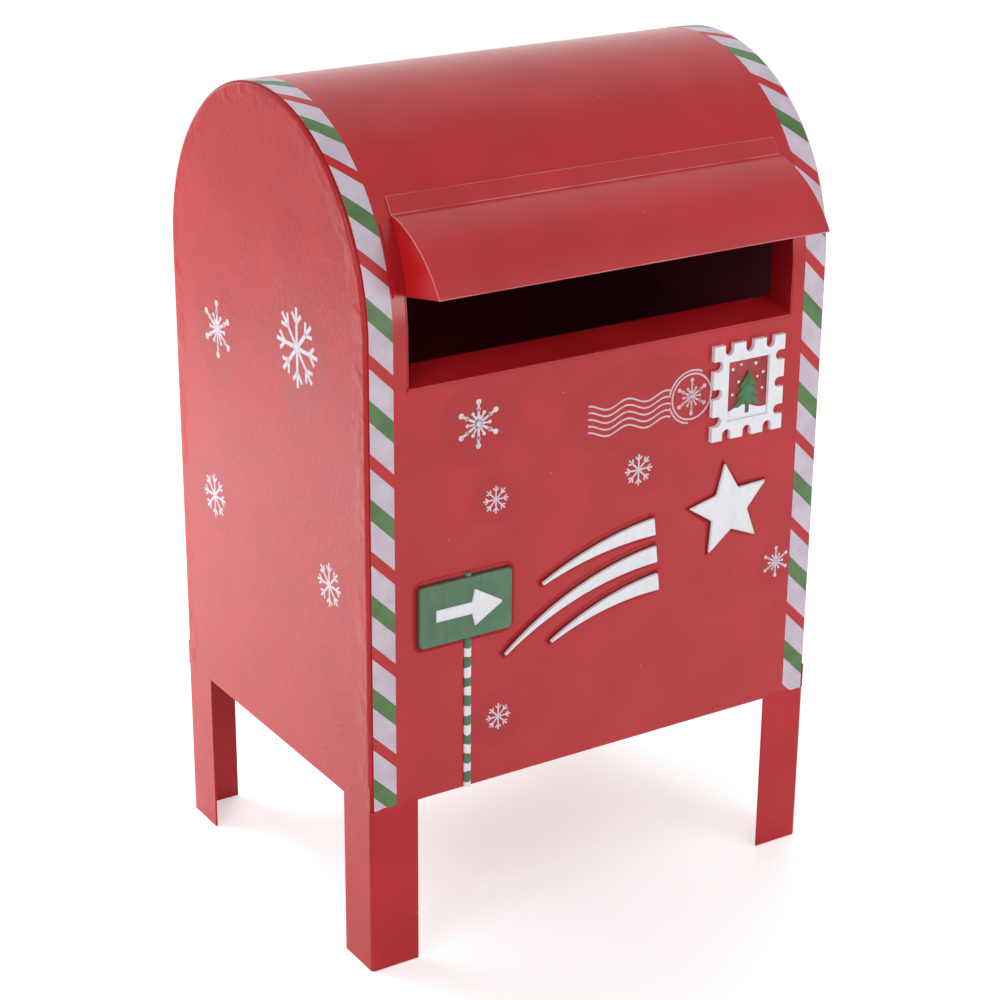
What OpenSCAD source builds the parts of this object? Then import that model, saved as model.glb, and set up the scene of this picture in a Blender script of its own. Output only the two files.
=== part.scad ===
// Tin money box in the form of a small street letter box.
// A sheet wraps from the front, over a half-round roof, and down the back. Two tombstone end pans
// close it, four folded angles carry it, a hood shelters the slot, and a hinged door empties it.
// Frame: +Z up, the front faces -Y, and the origin is on the ground in the middle of the four legs.

/* [Body] */
// Width across the front
body_w = 200; // [190:1:230]
// Depth of the box, which is also the diameter of the roof
body_d = 150; // [130:1:160]
// Height from the ground to the top of the roof
body_top = 320; // [312:1:360]
// Thickness of the tin sheet
sheet_t = 0.6; // [0.4:0.1:1]
// Depth of the flange folded round each end pan
pan_flange = 8; // [5:0.5:9]
// Outside radius of the fold round each end pan
pan_round = 1.4; // [1.2:0.1:2.5]
// Clearance left between sheets that lie on each other
seam_gap = 0.05; // [0.05:0.05:0.15]

/* [Legs and floor] */
// Height of the body's lower edge above the ground
leg_h = 67; // [50:1:75]
// Width of each flange of a leg angle
leg_w = 20; // [15:0.5:26]
// Thickness of a leg angle
leg_t = 0.8; // [0.6:0.1:1.2]
// Outside radius of a leg's fold
leg_bend = 1.6; // [1.2:0.1:3]
// Length of the strip inside a leg that is tucked up into the body
leg_tuck = 10; // [6:0.5:14]
// Length of that strip lapped on the leg below the body
leg_lap = 8; // [5:0.5:14]
// Height of the lip turned up round the floor tray
floor_lip = 7; // [4:0.5:7]

/* [Slot] */
// Distance from each end of the slot to the side of the box
slot_inset = 17; // [15:0.5:30]
// Clear height of the slot
slot_h = 32.5; // [20:0.5:34]
// Distance from the slot's lower edge up to where the roof begins to curve
slot_drop = 18; // [14:0.5:20]
// Depth of the lips folded in round the slot
slot_lip = 13; // [8:0.5:16]
// Height that the lower lip gains on its way in
slot_lip_rise = 4; // [1:0.5:5]
// Width of the trim turned down over the front below the slot
slot_trim = 1.3; // [1:0.1:2.5]

/* [Hood] */
// Distance that the hood's lip stands out from the front
hood_reach = 20.3; // [15:0.1:26]
// Height of the hood's lip above the slot
hood_lip_rise = 4.2; // [2:0.1:6]
// Radius of the hood's rolled sheet
hood_r = 46; // [40:0.5:54]
// Angle on the roof, above the horizontal, where the hood is folded
hood_fold = 32.5; // [30:0.5:38]
// Width of the flange that holds the hood's top edge to the roof
hood_flange = 7; // [4:0.5:8]
// Width of the flange that holds each cheek to the body
cheek_flange = 5; // [3:0.5:6]
// Width of the hem folded back under the hood's lip
hood_hem = 4; // [2:0.5:6]

/* [Rear door] */
// Distance from each edge of the door to the side of the box
door_side = 27; // [24:0.5:36]
// Height of the door
door_h = 132; // [90:1:134]
// Height of the door's lower edge above the body's lower edge
door_up = 23; // [20:0.5:30]
// Overlap of the door on the edge of its opening
door_lap = 6; // [4:0.5:9]
// Width of the hem folded back round the door
door_hem = 5; // [3:0.5:6]
// Gap between the closed door and the back
door_gap = 0.3; // [0.2:0.05:0.5]
// Diameter of the knob
knob_d = 14; // [10:0.5:18]
// Distance that the knob stands out from the door
knob_out = 16; // [12:0.5:20]
// Radius of the knob's screw
knob_screw_r = 1.5; // [1:0.1:2]
// Distance from the door's free edge to the knob
knob_inset = 16; // [13:0.5:24]

/* [Hinges] */
// Radius of a hinge pin
pin_r = 1; // [0.8:0.1:1.2]
// Running clearance round a hinge pin
pin_gap = 0.05; // [0.03:0.01:0.1]
// Thickness of a hinge leaf
leaf_t = 0.8; // [0.6:0.1:1]
// Length of one hinge knuckle
knuckle_l = 8; // [6:0.5:12]
// Gap between two knuckles
knuckle_gap = 0.2; // [0.15:0.05:0.4]
// Reach of a hinge leaf from the pin
leaf_w = 15; // [11:0.5:17]
// Distance from the door's upper and lower edges to its hinges
hinge_inset = 14; // [8:0.5:24]
// Radius of a rivet's head
rivet_r = 1.8; // [1.5:0.1:2.4]

/* [Magnet catch] */
// Width of the magnet
magnet_w = 10; // [8:0.5:14]
// Height of the magnet
magnet_h = 14; // [10:0.5:20]
// Thickness of the magnet
magnet_t = 3; // [2:0.5:5]
// Distance from the door's lower edge up to the magnet's middle
magnet_up = 24; // [18:0.5:30]
// Gap between the magnet and the closed door
magnet_gap = 0.3; // [0.2:0.05:0.5]

/* [Front relief] */
// Height that the pressed motifs stand out from the front
relief = 2; // [1:0.1:3]
// Width of the sign
sign_w = 39; // [30:0.5:44]
// Height of the sign
sign_h = 24; // [18:0.5:30]
// Distance from the sign's middle to the left side of the box
sign_in = 39.5; // [36:0.5:42]
// Height of the sign's middle above the body's lower edge
sign_up = 73; // [66:0.5:80]
// Radius of the sign's corners
sign_round = 2; // [1:0.1:4]
// Radius of the half-round pole under the sign
pole_r = 1.5; // [1:0.1:2]
// Distance from the sign's middle to the pole
pole_off = 1.4; // [0:0.1:4]
// Length of the pole's tip above the sign
pole_nub = 1.5; // [1:0.1:4]
// Width of the stamp
stamp_w = 33; // [28:0.5:36]
// Height of the stamp
stamp_h = 37.5; // [32:0.5:40]
// Distance from the stamp's middle to the right side of the box
stamp_in = 36.7; // [34:0.1:40]
// Distance from the slot's lower edge down to the stamp's middle
stamp_down = 25.6; // [23:0.1:28]
// Width of the stamp's white border
stamp_border = 7; // [5:0.5:8]
// Radius of a perforation in the stamp's edge
stamp_notch = 2; // [1.5:0.1:2.2]
// Depth of a perforation
stamp_notch_deep = 4.2; // [3:0.1:4.5]
// Distance from the star's middle to its points
star_r = 19; // [14:0.5:20]
// Distance from the star's middle to the right side of the box
star_in = 43; // [38:0.5:46]
// Gap between the stamp and the star's upper point
star_gap = 9.6; // [6:0.1:14]
// Width of each streak of the star's tail beside the star
streak_w = 7; // [4:0.1:8]

/* [Hidden] */
$fn = 96;

over = 1; // how far a cutter runs past what it cuts
roof_r = body_d / 2;
roof_z = body_top - roof_r;
half_w = body_w / 2;
wall_in = sheet_t + seam_gap;        // from the outside to a piece that lies inside the sheet
front_out = roof_r + seam_gap;       // from the middle to a piece that lies on the front

leg_top = leg_h + leg_tuck;
floor_z = leg_top + seam_gap;
floor_half_x = half_w - wall_in;
floor_half_y = roof_r - 2 * wall_in;

slot_z = roof_z - slot_drop;
slot_top = slot_z + slot_h;
slot_half = half_w - slot_inset;

// The hood's rolled sheet is an arc from its fold on the roof to its lip.
hood_base = slot_top + seam_gap;
fold_r = front_out + sheet_t;
fold_y = -fold_r * cos(hood_fold);
fold_z = roof_z + fold_r * sin(hood_fold);
lip_y = -(roof_r + hood_reach);
lip_z = slot_top + hood_lip_rise;
chord = norm([lip_y - fold_y, lip_z - fold_z]);
chord_in = sqrt(hood_r * hood_r - chord * chord / 4);
hood_y = (fold_y + lip_y) / 2 - chord_in * (lip_z - fold_z) / chord;
hood_z = (fold_z + lip_z) / 2 + chord_in * (lip_y - fold_y) / chord;
hood_lip_at = atan2(lip_z - hood_z, hood_y - lip_y);
hood_fold_at = atan2(fold_z - hood_z, hood_y - fold_y);
hood_half = slot_half;
hem_angle = hood_hem / hood_r * 180 / PI;

door_in_y = roof_r + door_gap;
door_out_y = door_in_y + 2 * sheet_t;
door_half = half_w - door_side;
door_z = leg_h + door_up;
door_top = door_z + door_h;
knuckle_r = pin_r + pin_gap + leaf_t;
hinge_y = roof_r + knuckle_r + 2 * seam_gap;
hinge_x = -door_half - knuckle_r - over;
hinge_l = 3 * knuckle_l + 2 * knuckle_gap;
hinge_zs = [door_z + hinge_inset, door_top - hinge_inset - hinge_l];
rivet_at = [hinge_l / 4, hinge_l * 3 / 4];
fixed_rivet_x = hinge_x - leaf_w * 0.65;
door_rivet_x = hinge_x + leaf_w * 0.65;
rivet_shank = rivet_r * 0.6;
rivet_head = rivet_r * 0.5;

knob_x = door_half - knob_inset;
knob_z = door_z + door_h / 2;
knob_r = knob_d / 2;
knob_foot_r = knob_d * 0.42;
knob_neck_r = knob_d * 0.28;
knob_crown_r = knob_d * 0.3;
knob_neck_z = knob_out * 0.25;
knob_swell_z = knob_out * 0.5;
knob_rim_z = knob_out * 0.78;
screw_head_r = knob_screw_r * 2;
screw_head_h = 1.2;
screw_deep = knob_out * 0.55;

magnet_x = door_half - door_lap - magnet_w - over;
magnet_z = door_z + magnet_up;
magnet_in_y = door_in_y + sheet_t - magnet_gap - magnet_t;
bracket_t = 0.8;
bracket_foot = 12;
bracket_step_x = door_half - door_lap + over;
wall_back_y = roof_r - sheet_t - seam_gap;

sign_x = half_w - sign_in;
sign_z = leg_h + sign_up;
pole_x = pole_off - sign_x;
stamp_x = half_w - stamp_in;
stamp_z = slot_z - stamp_down;
star_x = half_w - star_in;
star_z = stamp_z - stamp_h / 2 - star_gap - star_r;
star_waist = 0.46;
star_lean = 8;
// Each streak is a sliver of a disc: from the star, at tail_from, it thins to a tip at its own angle.
tail_inner = (star_x + sign_x - sign_w / 2) * 1.15;
tail_step = tail_inner * 0.102;
tail_x = star_x - tail_inner * 0.186;
tail_z = star_z - tail_inner * 1.168;
tail_from = 96;
tail_tips = [125, 133, 121];
tip_left = 3;

tin_red = [0.72, 0.11, 0.12];
inner_red = [0.5, 0.05, 0.06];
paint_white = [0.95, 0.93, 0.95];
sign_green = [0.27, 0.42, 0.31];
steel = [0.72, 0.72, 0.74];
magnet_grey = [0.16, 0.16, 0.17];

// Round bar along X
module x_cyl(r, x0, x1, y, z) {
    translate([x0, y, z]) rotate([0, 90, 0]) cylinder(r = r, h = x1 - x0);
}

// Round bar along Y, from y0 to y1
module y_cyl(r, y0, y1, x, z) {
    translate([x, y0, z]) rotate([-90, 0, 0]) cylinder(r = r, h = y1 - y0);
}

// Runs a section drawn in y and z along X, from x0 to x1
module along_x(x0, x1) {
    translate([x0, 0, 0]) rotate([90, 0, 90]) linear_extrude(height = x1 - x0) children();
}

// The body's section, from z0 up over the roof, drawn in by inset and run from x0 to x1
module tombstone(inset, x0, x1, z0) {
    r = roof_r - inset;
    x_cyl(r, x0, x1, 0, roof_z);
    translate([x0, -r, z0]) cube([x1 - x0, 2 * r, roof_z - z0]);
}

// Slab on the front or back, from x0,z0 to x1,z1 and from y0 to y1
module slab(x0, x1, y0, y1, z0, z1) {
    translate([x0, y0, z0]) cube([x1 - x0, y1 - y0, z1 - z0]);
}

// Sheet of the front, the roof and the back, set back from the folds of the end pans
module body_wrap() {
    wrap_half = half_w - pan_round;
    slot_side = slot_half + wall_in;
    open_x = door_half - door_lap;
    color(tin_red) difference() {
        tombstone(0, -wrap_half, wrap_half, leg_h);
        tombstone(sheet_t, -half_w, half_w, leg_h - over);
        slab(-slot_side, slot_side, -roof_r - over, -roof_r / 2, slot_z - wall_in, slot_top);
        slab(-open_x, open_x, roof_r / 2, roof_r + over, door_z + door_lap, door_top - door_lap);
    }
}

// Quarter of a tube: the section of the fold round an end pan
module fold_section() {
    intersection() {
        difference() {
            circle(r = pan_round);
            circle(r = pan_round - sheet_t);
        }
        square(pan_round);
    }
}

// Left end pan: a tombstone plate, a rounded fold over its roof and down its sides, and a flange
module end_pan() {
    edge_r = roof_r - wall_in;
    fold_at = edge_r - pan_round;
    fold_x = half_w - pan_round;
    pan_z = leg_top + seam_gap;
    color(tin_red) {
        tombstone(wall_in + pan_round, -half_w, -half_w + sheet_t, pan_z);
        slab(-half_w, -half_w + sheet_t, -edge_r, edge_r, leg_h, pan_z);
        translate([0, 0, roof_z]) rotate([90, 0, -90]) rotate_extrude(angle = 180)
            translate([fold_at, fold_x]) fold_section();
        for (side = [0, 1]) mirror([0, side, 0]) translate([-fold_x, -fold_at, pan_z]) rotate([0, 0, 180])
            linear_extrude(height = roof_z - pan_z) fold_section();
        difference() {
            tombstone(wall_in, -fold_x, -half_w + pan_flange, pan_z);
            tombstone(wall_in + sheet_t, -half_w, half_w, pan_z - over);
        }
    }
}

module floor_tray() {
    color(tin_red) difference() {
        slab(-floor_half_x, floor_half_x, -floor_half_y, floor_half_y, floor_z, floor_z + floor_lip);
        slab(-floor_half_x + sheet_t, floor_half_x - sheet_t, -floor_half_y + sheet_t,
             floor_half_y - sheet_t, floor_z + sheet_t, floor_z + floor_lip + over);
    }
}

// Folded angle with its outer corner on the Z axis and its flanges along +X and +Y
module angle(w, t, bend, z0, z1) {
    translate([bend, 0, z0]) cube([w - bend, t, z1 - z0]);
    translate([0, bend, z0]) cube([t, w - bend, z1 - z0]);
    translate([bend, bend, z0]) rotate([0, 0, 180]) rotate_extrude(angle = 90)
        translate([bend - t, 0]) square([t, z1 - z0]);
}

// Leg flush with the body in the corner given by the signs of x and y, with its tucked-in strip
module leg(side_x, side_y) {
    tuck_w = leg_w - leg_bend;
    tuck_bend = leg_t + 2 * seam_gap;
    color(tin_red) mirror([side_x > 0 ? 1 : 0, 0, 0]) mirror([0, side_y > 0 ? 1 : 0, 0])
        translate([-half_w, -roof_r, 0]) {
            angle(leg_w, leg_t, leg_bend, 0, leg_h - seam_gap);
            translate([wall_in, wall_in, 0]) angle(tuck_w, leg_t, tuck_bend, leg_h - leg_lap, leg_top);
        }
}

// Lips folded in round the slot: a rising lower lip with its trim, and one lip at each side
module slot_liner() {
    side_out = slot_half + sheet_t;
    trim_y = -front_out - sheet_t;
    lip_end = slot_lip - roof_r;
    section = [
        [trim_y, slot_z - slot_trim], [-front_out, slot_z - slot_trim], [-front_out, slot_z - sheet_t],
        [lip_end, slot_z + slot_lip_rise - sheet_t], [lip_end, slot_z + slot_lip_rise], [trim_y, slot_z]
    ];
    color(inner_red) {
        along_x(-side_out, side_out) polygon(section);
        for (side = [-1, 1]) intersection() {
            tombstone(0, -half_w, half_w, leg_h);
            slab(side > 0 ? slot_half : -side_out, side > 0 ? side_out : -slot_half,
                 -front_out, lip_end - sheet_t, slot_z - sheet_t / 2, slot_top - seam_gap);
        }
    }
}

// Section of a rolled sheet: part of a ring round y,z, from angle a0 to a1 above the forward horizontal
module rolled_section(y, z, r0, r1, a0, a1) {
    far = 2 * r1;
    translate([y, z]) intersection() {
        difference() {
            circle(r = r1);
            circle(r = r0);
        }
        polygon([[0, 0], [-far * cos(a0), far * sin(a0)], [-far * cos(a1), far * sin(a1)]]);
    }
}

// Rolled hood with a hem under its lip and a flange on the roof, all trimmed to the roof
module hood_sheet() {
    flange_start = hood_fold - sheet_t * 0.15 / roof_r * 180 / PI;
    flange_end = hood_fold + hood_flange / roof_r * 180 / PI;
    hem_half = hood_half - wall_in;
    color(tin_red) {
        along_x(-hood_half, hood_half) difference() {
            union() {
                rolled_section(hood_y, hood_z, hood_r - sheet_t, hood_r,
                               hood_lip_at, hood_fold_at + hem_angle);
                rolled_section(0, roof_z, roof_r - over, front_out + sheet_t, flange_start, flange_end);
            }
            translate([0, roof_z]) circle(r = front_out);
        }
        along_x(-hem_half, hem_half) rolled_section(hood_y, hood_z, hood_r - 2 * sheet_t,
            hood_r - sheet_t / 2, hood_lip_at, hood_lip_at + hem_angle);
    }
}

// Left cheek of the hood, cut straight from the lip down to the body, with the flange that holds it
module hood_cheek() {
    base_at = asin((hood_base - roof_z) / front_out);
    base_y = -front_out * cos(base_at);
    cut_fall = (lip_z - hood_base) / (lip_y - base_y);
    color(tin_red) {
        along_x(-hood_half, -hood_half + sheet_t) difference() {
            intersection() {
                translate([hood_y, hood_z]) circle(r = hood_r - wall_in);
                polygon([[0, hood_base], [base_y, hood_base], [-body_d, hood_base + cut_fall * (-body_d - base_y)],
                         [-body_d, body_top], [0, body_top]]);
            }
            translate([0, roof_z]) circle(r = front_out);
        }
        along_x(-hood_half - cheek_flange, -hood_half + sheet_t)
            rolled_section(0, roof_z, front_out, front_out + sheet_t, base_at, hood_fold - 2 * over);
    }
}

// Door pan with its edges folded back into a hem
module rear_door() {
    color(tin_red) difference() {
        slab(-door_half, door_half, door_in_y, door_out_y, door_z, door_top);
        slab(-door_half + door_hem, door_half - door_hem, door_in_y - over, door_in_y + sheet_t,
             door_z + door_hem, door_top - door_hem);
        y_cyl(knob_screw_r + seam_gap, door_in_y - over, door_out_y + over, knob_x, knob_z);
    }
}

// Turned knob with a foot, a neck and a rounded-off head, tapped for its screw
module door_knob() {
    profile = [
        [knob_screw_r, 0], [knob_foot_r, 0], [knob_neck_r, knob_neck_z], [knob_neck_r, knob_swell_z],
        [knob_r, knob_rim_z], [knob_crown_r, knob_out], [0, knob_out], [0, screw_deep],
        [knob_screw_r, screw_deep]
    ];
    color(steel) translate([knob_x, door_out_y, knob_z]) rotate([-90, 0, 0])
        rotate_extrude() polygon(profile);
}

module knob_screw() {
    color(steel) {
        y_cyl(knob_screw_r - seam_gap, door_in_y + sheet_t, door_out_y + screw_deep - over, knob_x, knob_z);
        y_cyl(screw_head_r, door_in_y + sheet_t - screw_head_h, door_in_y + sheet_t, knob_x, knob_z);
    }
}

// Knuckle of a hinge, from z0, as long as one knuckle
module knuckle(z0) {
    translate([hinge_x, hinge_y, z0]) cylinder(r = knuckle_r, h = knuckle_l);
}

module pin_bore(z0) {
    translate([hinge_x, hinge_y, z0 - over]) cylinder(r = pin_r + pin_gap, h = hinge_l + 2 * over);
}

module rivet_bores(z0, x, y) {
    for (up = rivet_at) y_cyl(rivet_shank + seam_gap, y - over, y + leaf_t + over, x, z0 + up);
}

// Leaf on the back of the box, with a knuckle at each end
module fixed_leaf(z0) {
    leaf_y = roof_r + seam_gap;
    color(steel) difference() {
        union() {
            slab(hinge_x - leaf_w, hinge_x - knuckle_r - knuckle_gap, leaf_y, leaf_y + leaf_t,
                 z0, z0 + hinge_l);
            for (up = [0, 2 * (knuckle_l + knuckle_gap)]) {
                slab(hinge_x - knuckle_r - over, hinge_x - pin_r - 2 * pin_gap, leaf_y, hinge_y,
                     z0 + up, z0 + up + knuckle_l);
                knuckle(z0 + up);
            }
        }
        pin_bore(z0);
        rivet_bores(z0, fixed_rivet_x, leaf_y);
    }
}

// Leaf on the door, with the middle knuckle
module door_leaf(z0) {
    leaf_y = door_out_y + seam_gap;
    mid_z = z0 + knuckle_l + knuckle_gap;
    color(steel) difference() {
        union() {
            slab(hinge_x + knuckle_r + over, hinge_x + leaf_w, leaf_y, leaf_y + leaf_t, z0, z0 + hinge_l);
            slab(hinge_x + pin_r + 2 * pin_gap, hinge_x + knuckle_r + 2 * over, leaf_y, leaf_y + leaf_t,
                 mid_z, mid_z + knuckle_l);
            knuckle(mid_z);
        }
        pin_bore(z0);
        rivet_bores(z0, door_rivet_x, leaf_y);
    }
}

module hinge_pin(z0) {
    head_h = 0.8;
    color(steel) {
        translate([hinge_x, hinge_y, z0]) cylinder(r = pin_r, h = hinge_l);
        translate([hinge_x, hinge_y, z0 + hinge_l]) cylinder(r = pin_r * 1.6, h = head_h);
    }
}

// Domed rivets through the leaves, standing on the sheet at y
module rivets(x, y) {
    color(steel) for (z0 = hinge_zs, up = rivet_at) {
        y_cyl(rivet_shank, y, y + leaf_t + seam_gap, x, z0 + up);
        translate([x, y + leaf_t + seam_gap, z0 + up]) rotate([-90, 0, 0])
            cylinder(r1 = rivet_r, r2 = rivet_r * 0.55, h = rivet_head);
    }
}

// Stepped bracket on the inside of the back that holds the magnet in the door's opening
module magnet_bracket() {
    low = magnet_z - magnet_h / 2;
    high = magnet_z + magnet_h / 2;
    shelf_y = magnet_in_y - seam_gap;
    color(steel) difference() {
        union() {
            slab(magnet_x, bracket_step_x + bracket_t, shelf_y - bracket_t, shelf_y, low, high);
            slab(bracket_step_x, bracket_step_x + bracket_t, shelf_y - bracket_t, wall_back_y, low, high);
            slab(bracket_step_x, bracket_step_x + bracket_foot, wall_back_y - bracket_t, wall_back_y,
                 low, high);
        }
        for (side = [-1, 1]) y_cyl(rivet_shank + seam_gap, wall_back_y - 2 * bracket_t, wall_back_y + over,
            bracket_step_x + bracket_foot * 0.6, magnet_z + side * magnet_h / 4);
    }
}

module magnet() {
    color(magnet_grey) slab(magnet_x, magnet_x + magnet_w, magnet_in_y, magnet_in_y + magnet_t,
        magnet_z - magnet_h / 2, magnet_z + magnet_h / 2);
}

module magnet_rivets() {
    x = bracket_step_x + bracket_foot * 0.6;
    inner_y = wall_back_y - bracket_t - seam_gap;
    color(steel) for (side = [-1, 1]) {
        z = magnet_z + side * magnet_h / 4;
        y_cyl(rivet_shank, inner_y, wall_back_y, x, z);
        y_cyl(rivet_r, inner_y - rivet_head, inner_y, x, z);
    }
}

// Sign board with rounded corners
module sign_plate() {
    x0 = -sign_x - sign_w / 2;
    x1 = -sign_x + sign_w / 2;
    z0 = sign_z - sign_h / 2;
    z1 = sign_z + sign_h / 2;
    face_y = -front_out - relief;
    color(sign_green) {
        slab(x0 + sign_round, x1 - sign_round, face_y, -front_out, z0, z1);
        slab(x0, x1, face_y, -front_out, z0 + sign_round, z1 - sign_round);
        for (x = [x0 + sign_round, x1 - sign_round], z = [z0 + sign_round, z1 - sign_round])
            y_cyl(sign_round, face_y, -front_out, x, z);
    }
}

// Half-round pole from the box's lower edge to the sign, with its tip above the sign
module sign_pole() {
    sign_low = sign_z - sign_h / 2 - seam_gap;
    sign_high = sign_z + sign_h / 2 + seam_gap;
    color(paint_white) for (run = [[leg_h, sign_low], [sign_high, sign_high + pole_nub]])
        intersection() {
            translate([pole_x, -front_out, run[0]]) cylinder(r = pole_r, h = run[1] - run[0]);
            slab(-half_w, half_w, -body_d, -front_out, leg_h, body_top);
        }
}

// Round-bottomed perforation cut in from the point x,z, along the direction in_x,in_z
module perforation(x, z, in_x, in_z) {
    deep = stamp_notch_deep - stamp_notch;
    y0 = -front_out - relief - over;
    y1 = over - front_out;
    y_cyl(stamp_notch, y0, y1, x + in_x * deep, z + in_z * deep);
    translate([x, 0, z]) rotate([0, -atan2(in_z, in_x), 0])
        slab(-over, deep, y0, y1, -stamp_notch, stamp_notch);
}

// Postage stamp with a perforated edge and a sunken picture
module stamp() {
    x0 = stamp_x - stamp_w / 2;
    x1 = stamp_x + stamp_w / 2;
    z0 = stamp_z - stamp_h / 2;
    z1 = stamp_z + stamp_h / 2;
    face_y = -front_out - relief;
    color(paint_white) difference() {
        slab(x0, x1, face_y, -front_out, z0, z1);
        slab(x0 + stamp_border, x1 - stamp_border, face_y - over, face_y + relief / 2,
             z0 + stamp_border, z1 - stamp_border);
        for (share = [0.21, 0.5, 0.79]) {
            perforation(x0, z0 + stamp_h * share, 1, 0);
            perforation(x1, z0 + stamp_h * share, -1, 0);
            perforation(x0 + stamp_w * share, z0, 0, 1);
            perforation(x0 + stamp_w * share, z1, 0, -1);
        }
    }
}

// Five-pointed star that leans a little to the left
module star() {
    points = [
        for (i = [0 : 9])
            let (r = i % 2 == 0 ? star_r : star_r * star_waist, a = 90 + star_lean + i * 36)
                [r * cos(a), r * sin(a)]
    ];
    color(paint_white) translate([star_x, -front_out, star_z]) rotate([90, 0, 0])
        linear_extrude(height = relief) polygon(points);
}

// Streak on a disc of radius r: what a second disc, turned about the tip, leaves of the first
module streak(r, tip_at) {
    tip = [r * cos(tip_at), r * sin(tip_at), 0];
    turn = streak_w / (2 * r * sin((tip_at - tail_from) / 2)) * 180 / PI;
    far = 2 * r;
    intersection() {
        difference() {
            cylinder(r = r, h = relief);
            translate(tip) rotate([0, 0, -turn]) translate(-tip) translate([0, 0, -over])
                cylinder(r = r, h = relief + 2 * over);
        }
        linear_extrude(height = relief) polygon([
            [0, 0],
            [far * cos(tail_from), far * sin(tail_from)],
            [far * cos(tip_at - tip_left), far * sin(tip_at - tip_left)]
        ]);
    }
}

// Three streaks that sweep down to the left of the star
module star_tail() {
    color(paint_white) translate([tail_x, -front_out, tail_z]) rotate([90, 0, 0])
        for (i = [0 : 2]) streak(tail_inner + i * tail_step, tail_tips[i]);
}

body_wrap();
end_pan();  // end_pan_left
mirror([1, 0, 0]) end_pan();  // end_pan_right
floor_tray();
leg(-1, -1);  // leg_front_left
leg(1, -1);  // leg_front_right
leg(-1, 1);  // leg_back_left
leg(1, 1);  // leg_back_right
slot_liner();
hood_sheet();
hood_cheek();  // hood_cheek_left
mirror([1, 0, 0]) hood_cheek();  // hood_cheek_right
rear_door();
door_knob();
knob_screw();
fixed_leaf(hinge_zs[1]);  // hinge_upper_fixed_leaf
door_leaf(hinge_zs[1]);  // hinge_upper_door_leaf
hinge_pin(hinge_zs[1]);  // hinge_upper_pin
fixed_leaf(hinge_zs[0]);  // hinge_lower_fixed_leaf
door_leaf(hinge_zs[0]);  // hinge_lower_door_leaf
hinge_pin(hinge_zs[0]);  // hinge_lower_pin
rivets(fixed_rivet_x, roof_r + seam_gap);  // fixed_leaf_rivets
rivets(door_rivet_x, door_out_y + seam_gap);  // door_leaf_rivets
magnet_bracket();
magnet();
magnet_rivets();
sign_plate();
sign_pole();
stamp();
star();
star_tail();
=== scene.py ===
import math
import bpy
from mathutils import Matrix, Vector, noise


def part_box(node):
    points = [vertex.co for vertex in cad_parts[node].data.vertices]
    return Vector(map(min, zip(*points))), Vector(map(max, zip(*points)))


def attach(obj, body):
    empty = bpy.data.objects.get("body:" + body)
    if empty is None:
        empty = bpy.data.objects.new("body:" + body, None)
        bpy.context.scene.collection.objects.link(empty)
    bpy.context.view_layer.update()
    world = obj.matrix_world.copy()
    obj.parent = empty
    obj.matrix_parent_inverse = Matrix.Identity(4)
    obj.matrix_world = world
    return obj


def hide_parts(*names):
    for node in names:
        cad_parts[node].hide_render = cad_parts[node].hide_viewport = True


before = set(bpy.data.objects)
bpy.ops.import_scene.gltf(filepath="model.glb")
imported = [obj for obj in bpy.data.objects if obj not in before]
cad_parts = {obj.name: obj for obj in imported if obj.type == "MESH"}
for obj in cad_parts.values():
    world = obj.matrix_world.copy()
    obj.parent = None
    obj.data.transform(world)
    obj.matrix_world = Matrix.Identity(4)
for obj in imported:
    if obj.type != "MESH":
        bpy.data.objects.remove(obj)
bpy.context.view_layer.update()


# The wrap is the front, the roof and the back of the box in one rolled tin sheet.
# It is sprayed with a satin-gloss red enamel that rounds the cut edges and shows a fine
# orange peel; clear varnish brushed over the prints leaves darker patches on the front.

FRONT_Y = -0.075
ROOF_R = 0.075
ROOF_Z = 0.245
BACK_INSIDE_Y = 0.0735
OPENING_HALF = 0.090
OPENING_LOW = 0.090
CUT_EDGE = 0.00018
SHARP_ANGLE = math.radians(40)
FLAT_ANGLE = math.radians(0.4)
WELD_REACH = 1e-6
ENAMEL_DEEP = (0.475, 0.011, 0.016, 1)
ENAMEL_BLOOM = (0.525, 0.016, 0.022, 1)
ENAMEL_SHINE = 0.45
ENAMEL_GLOSS = (0.215, 0.260)
INSIDE_DARK = (0.30, 0.060, 0.095, 1)
INSIDE_BLOOM = (0.34, 0.072, 0.112, 1)
PEEL_SCALE = 620.0
PEEL_DEPTH = 0.000018
BULGE_SCALE = 26.0
BULGE_DEPTH = 0.00022
TONE_SCALE = 42.0
GRAIN_SCALE = 680.0
GRAIN_STRETCH = (1, 1, 0.65)
DUST_PINK = (0.72, 0.30, 0.30, 1)
DUST_SHARE = 0.40
DUST_SCALE = 210.0
DUST_REACH = 0.075
VARNISHED_RED = (0.33, 0.006, 0.011, 1)
VARNISH_SHARE = 0.24
VARNISH_SMOOTHING = 0.03
VARNISH_DEPTH = 0.0003
VARNISH_PATCHES = (
    ((-0.0547, 0.2085), (0.017, 0.016)),
    ((-0.0472, 0.1788), (0.011, 0.010)),
    ((0.0151, 0.1777), (0.012, 0.011)),
    ((-0.0455, 0.0922), (0.011, 0.012)),
    ((0.0823, 0.1259), (0.009, 0.012)),
    ((0.0150, 0.2030), (0.034, 0.018)),
)


def set_out(name, mesh):
    """Put a mesh in the scene as its one selected and active object."""
    bpy.ops.object.select_all(action="DESELECT")
    piece = bpy.data.objects.new(name, mesh)
    bpy.context.scene.collection.objects.link(piece)
    piece.select_set(True)
    bpy.context.view_layer.objects.active = piece
    return piece


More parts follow.
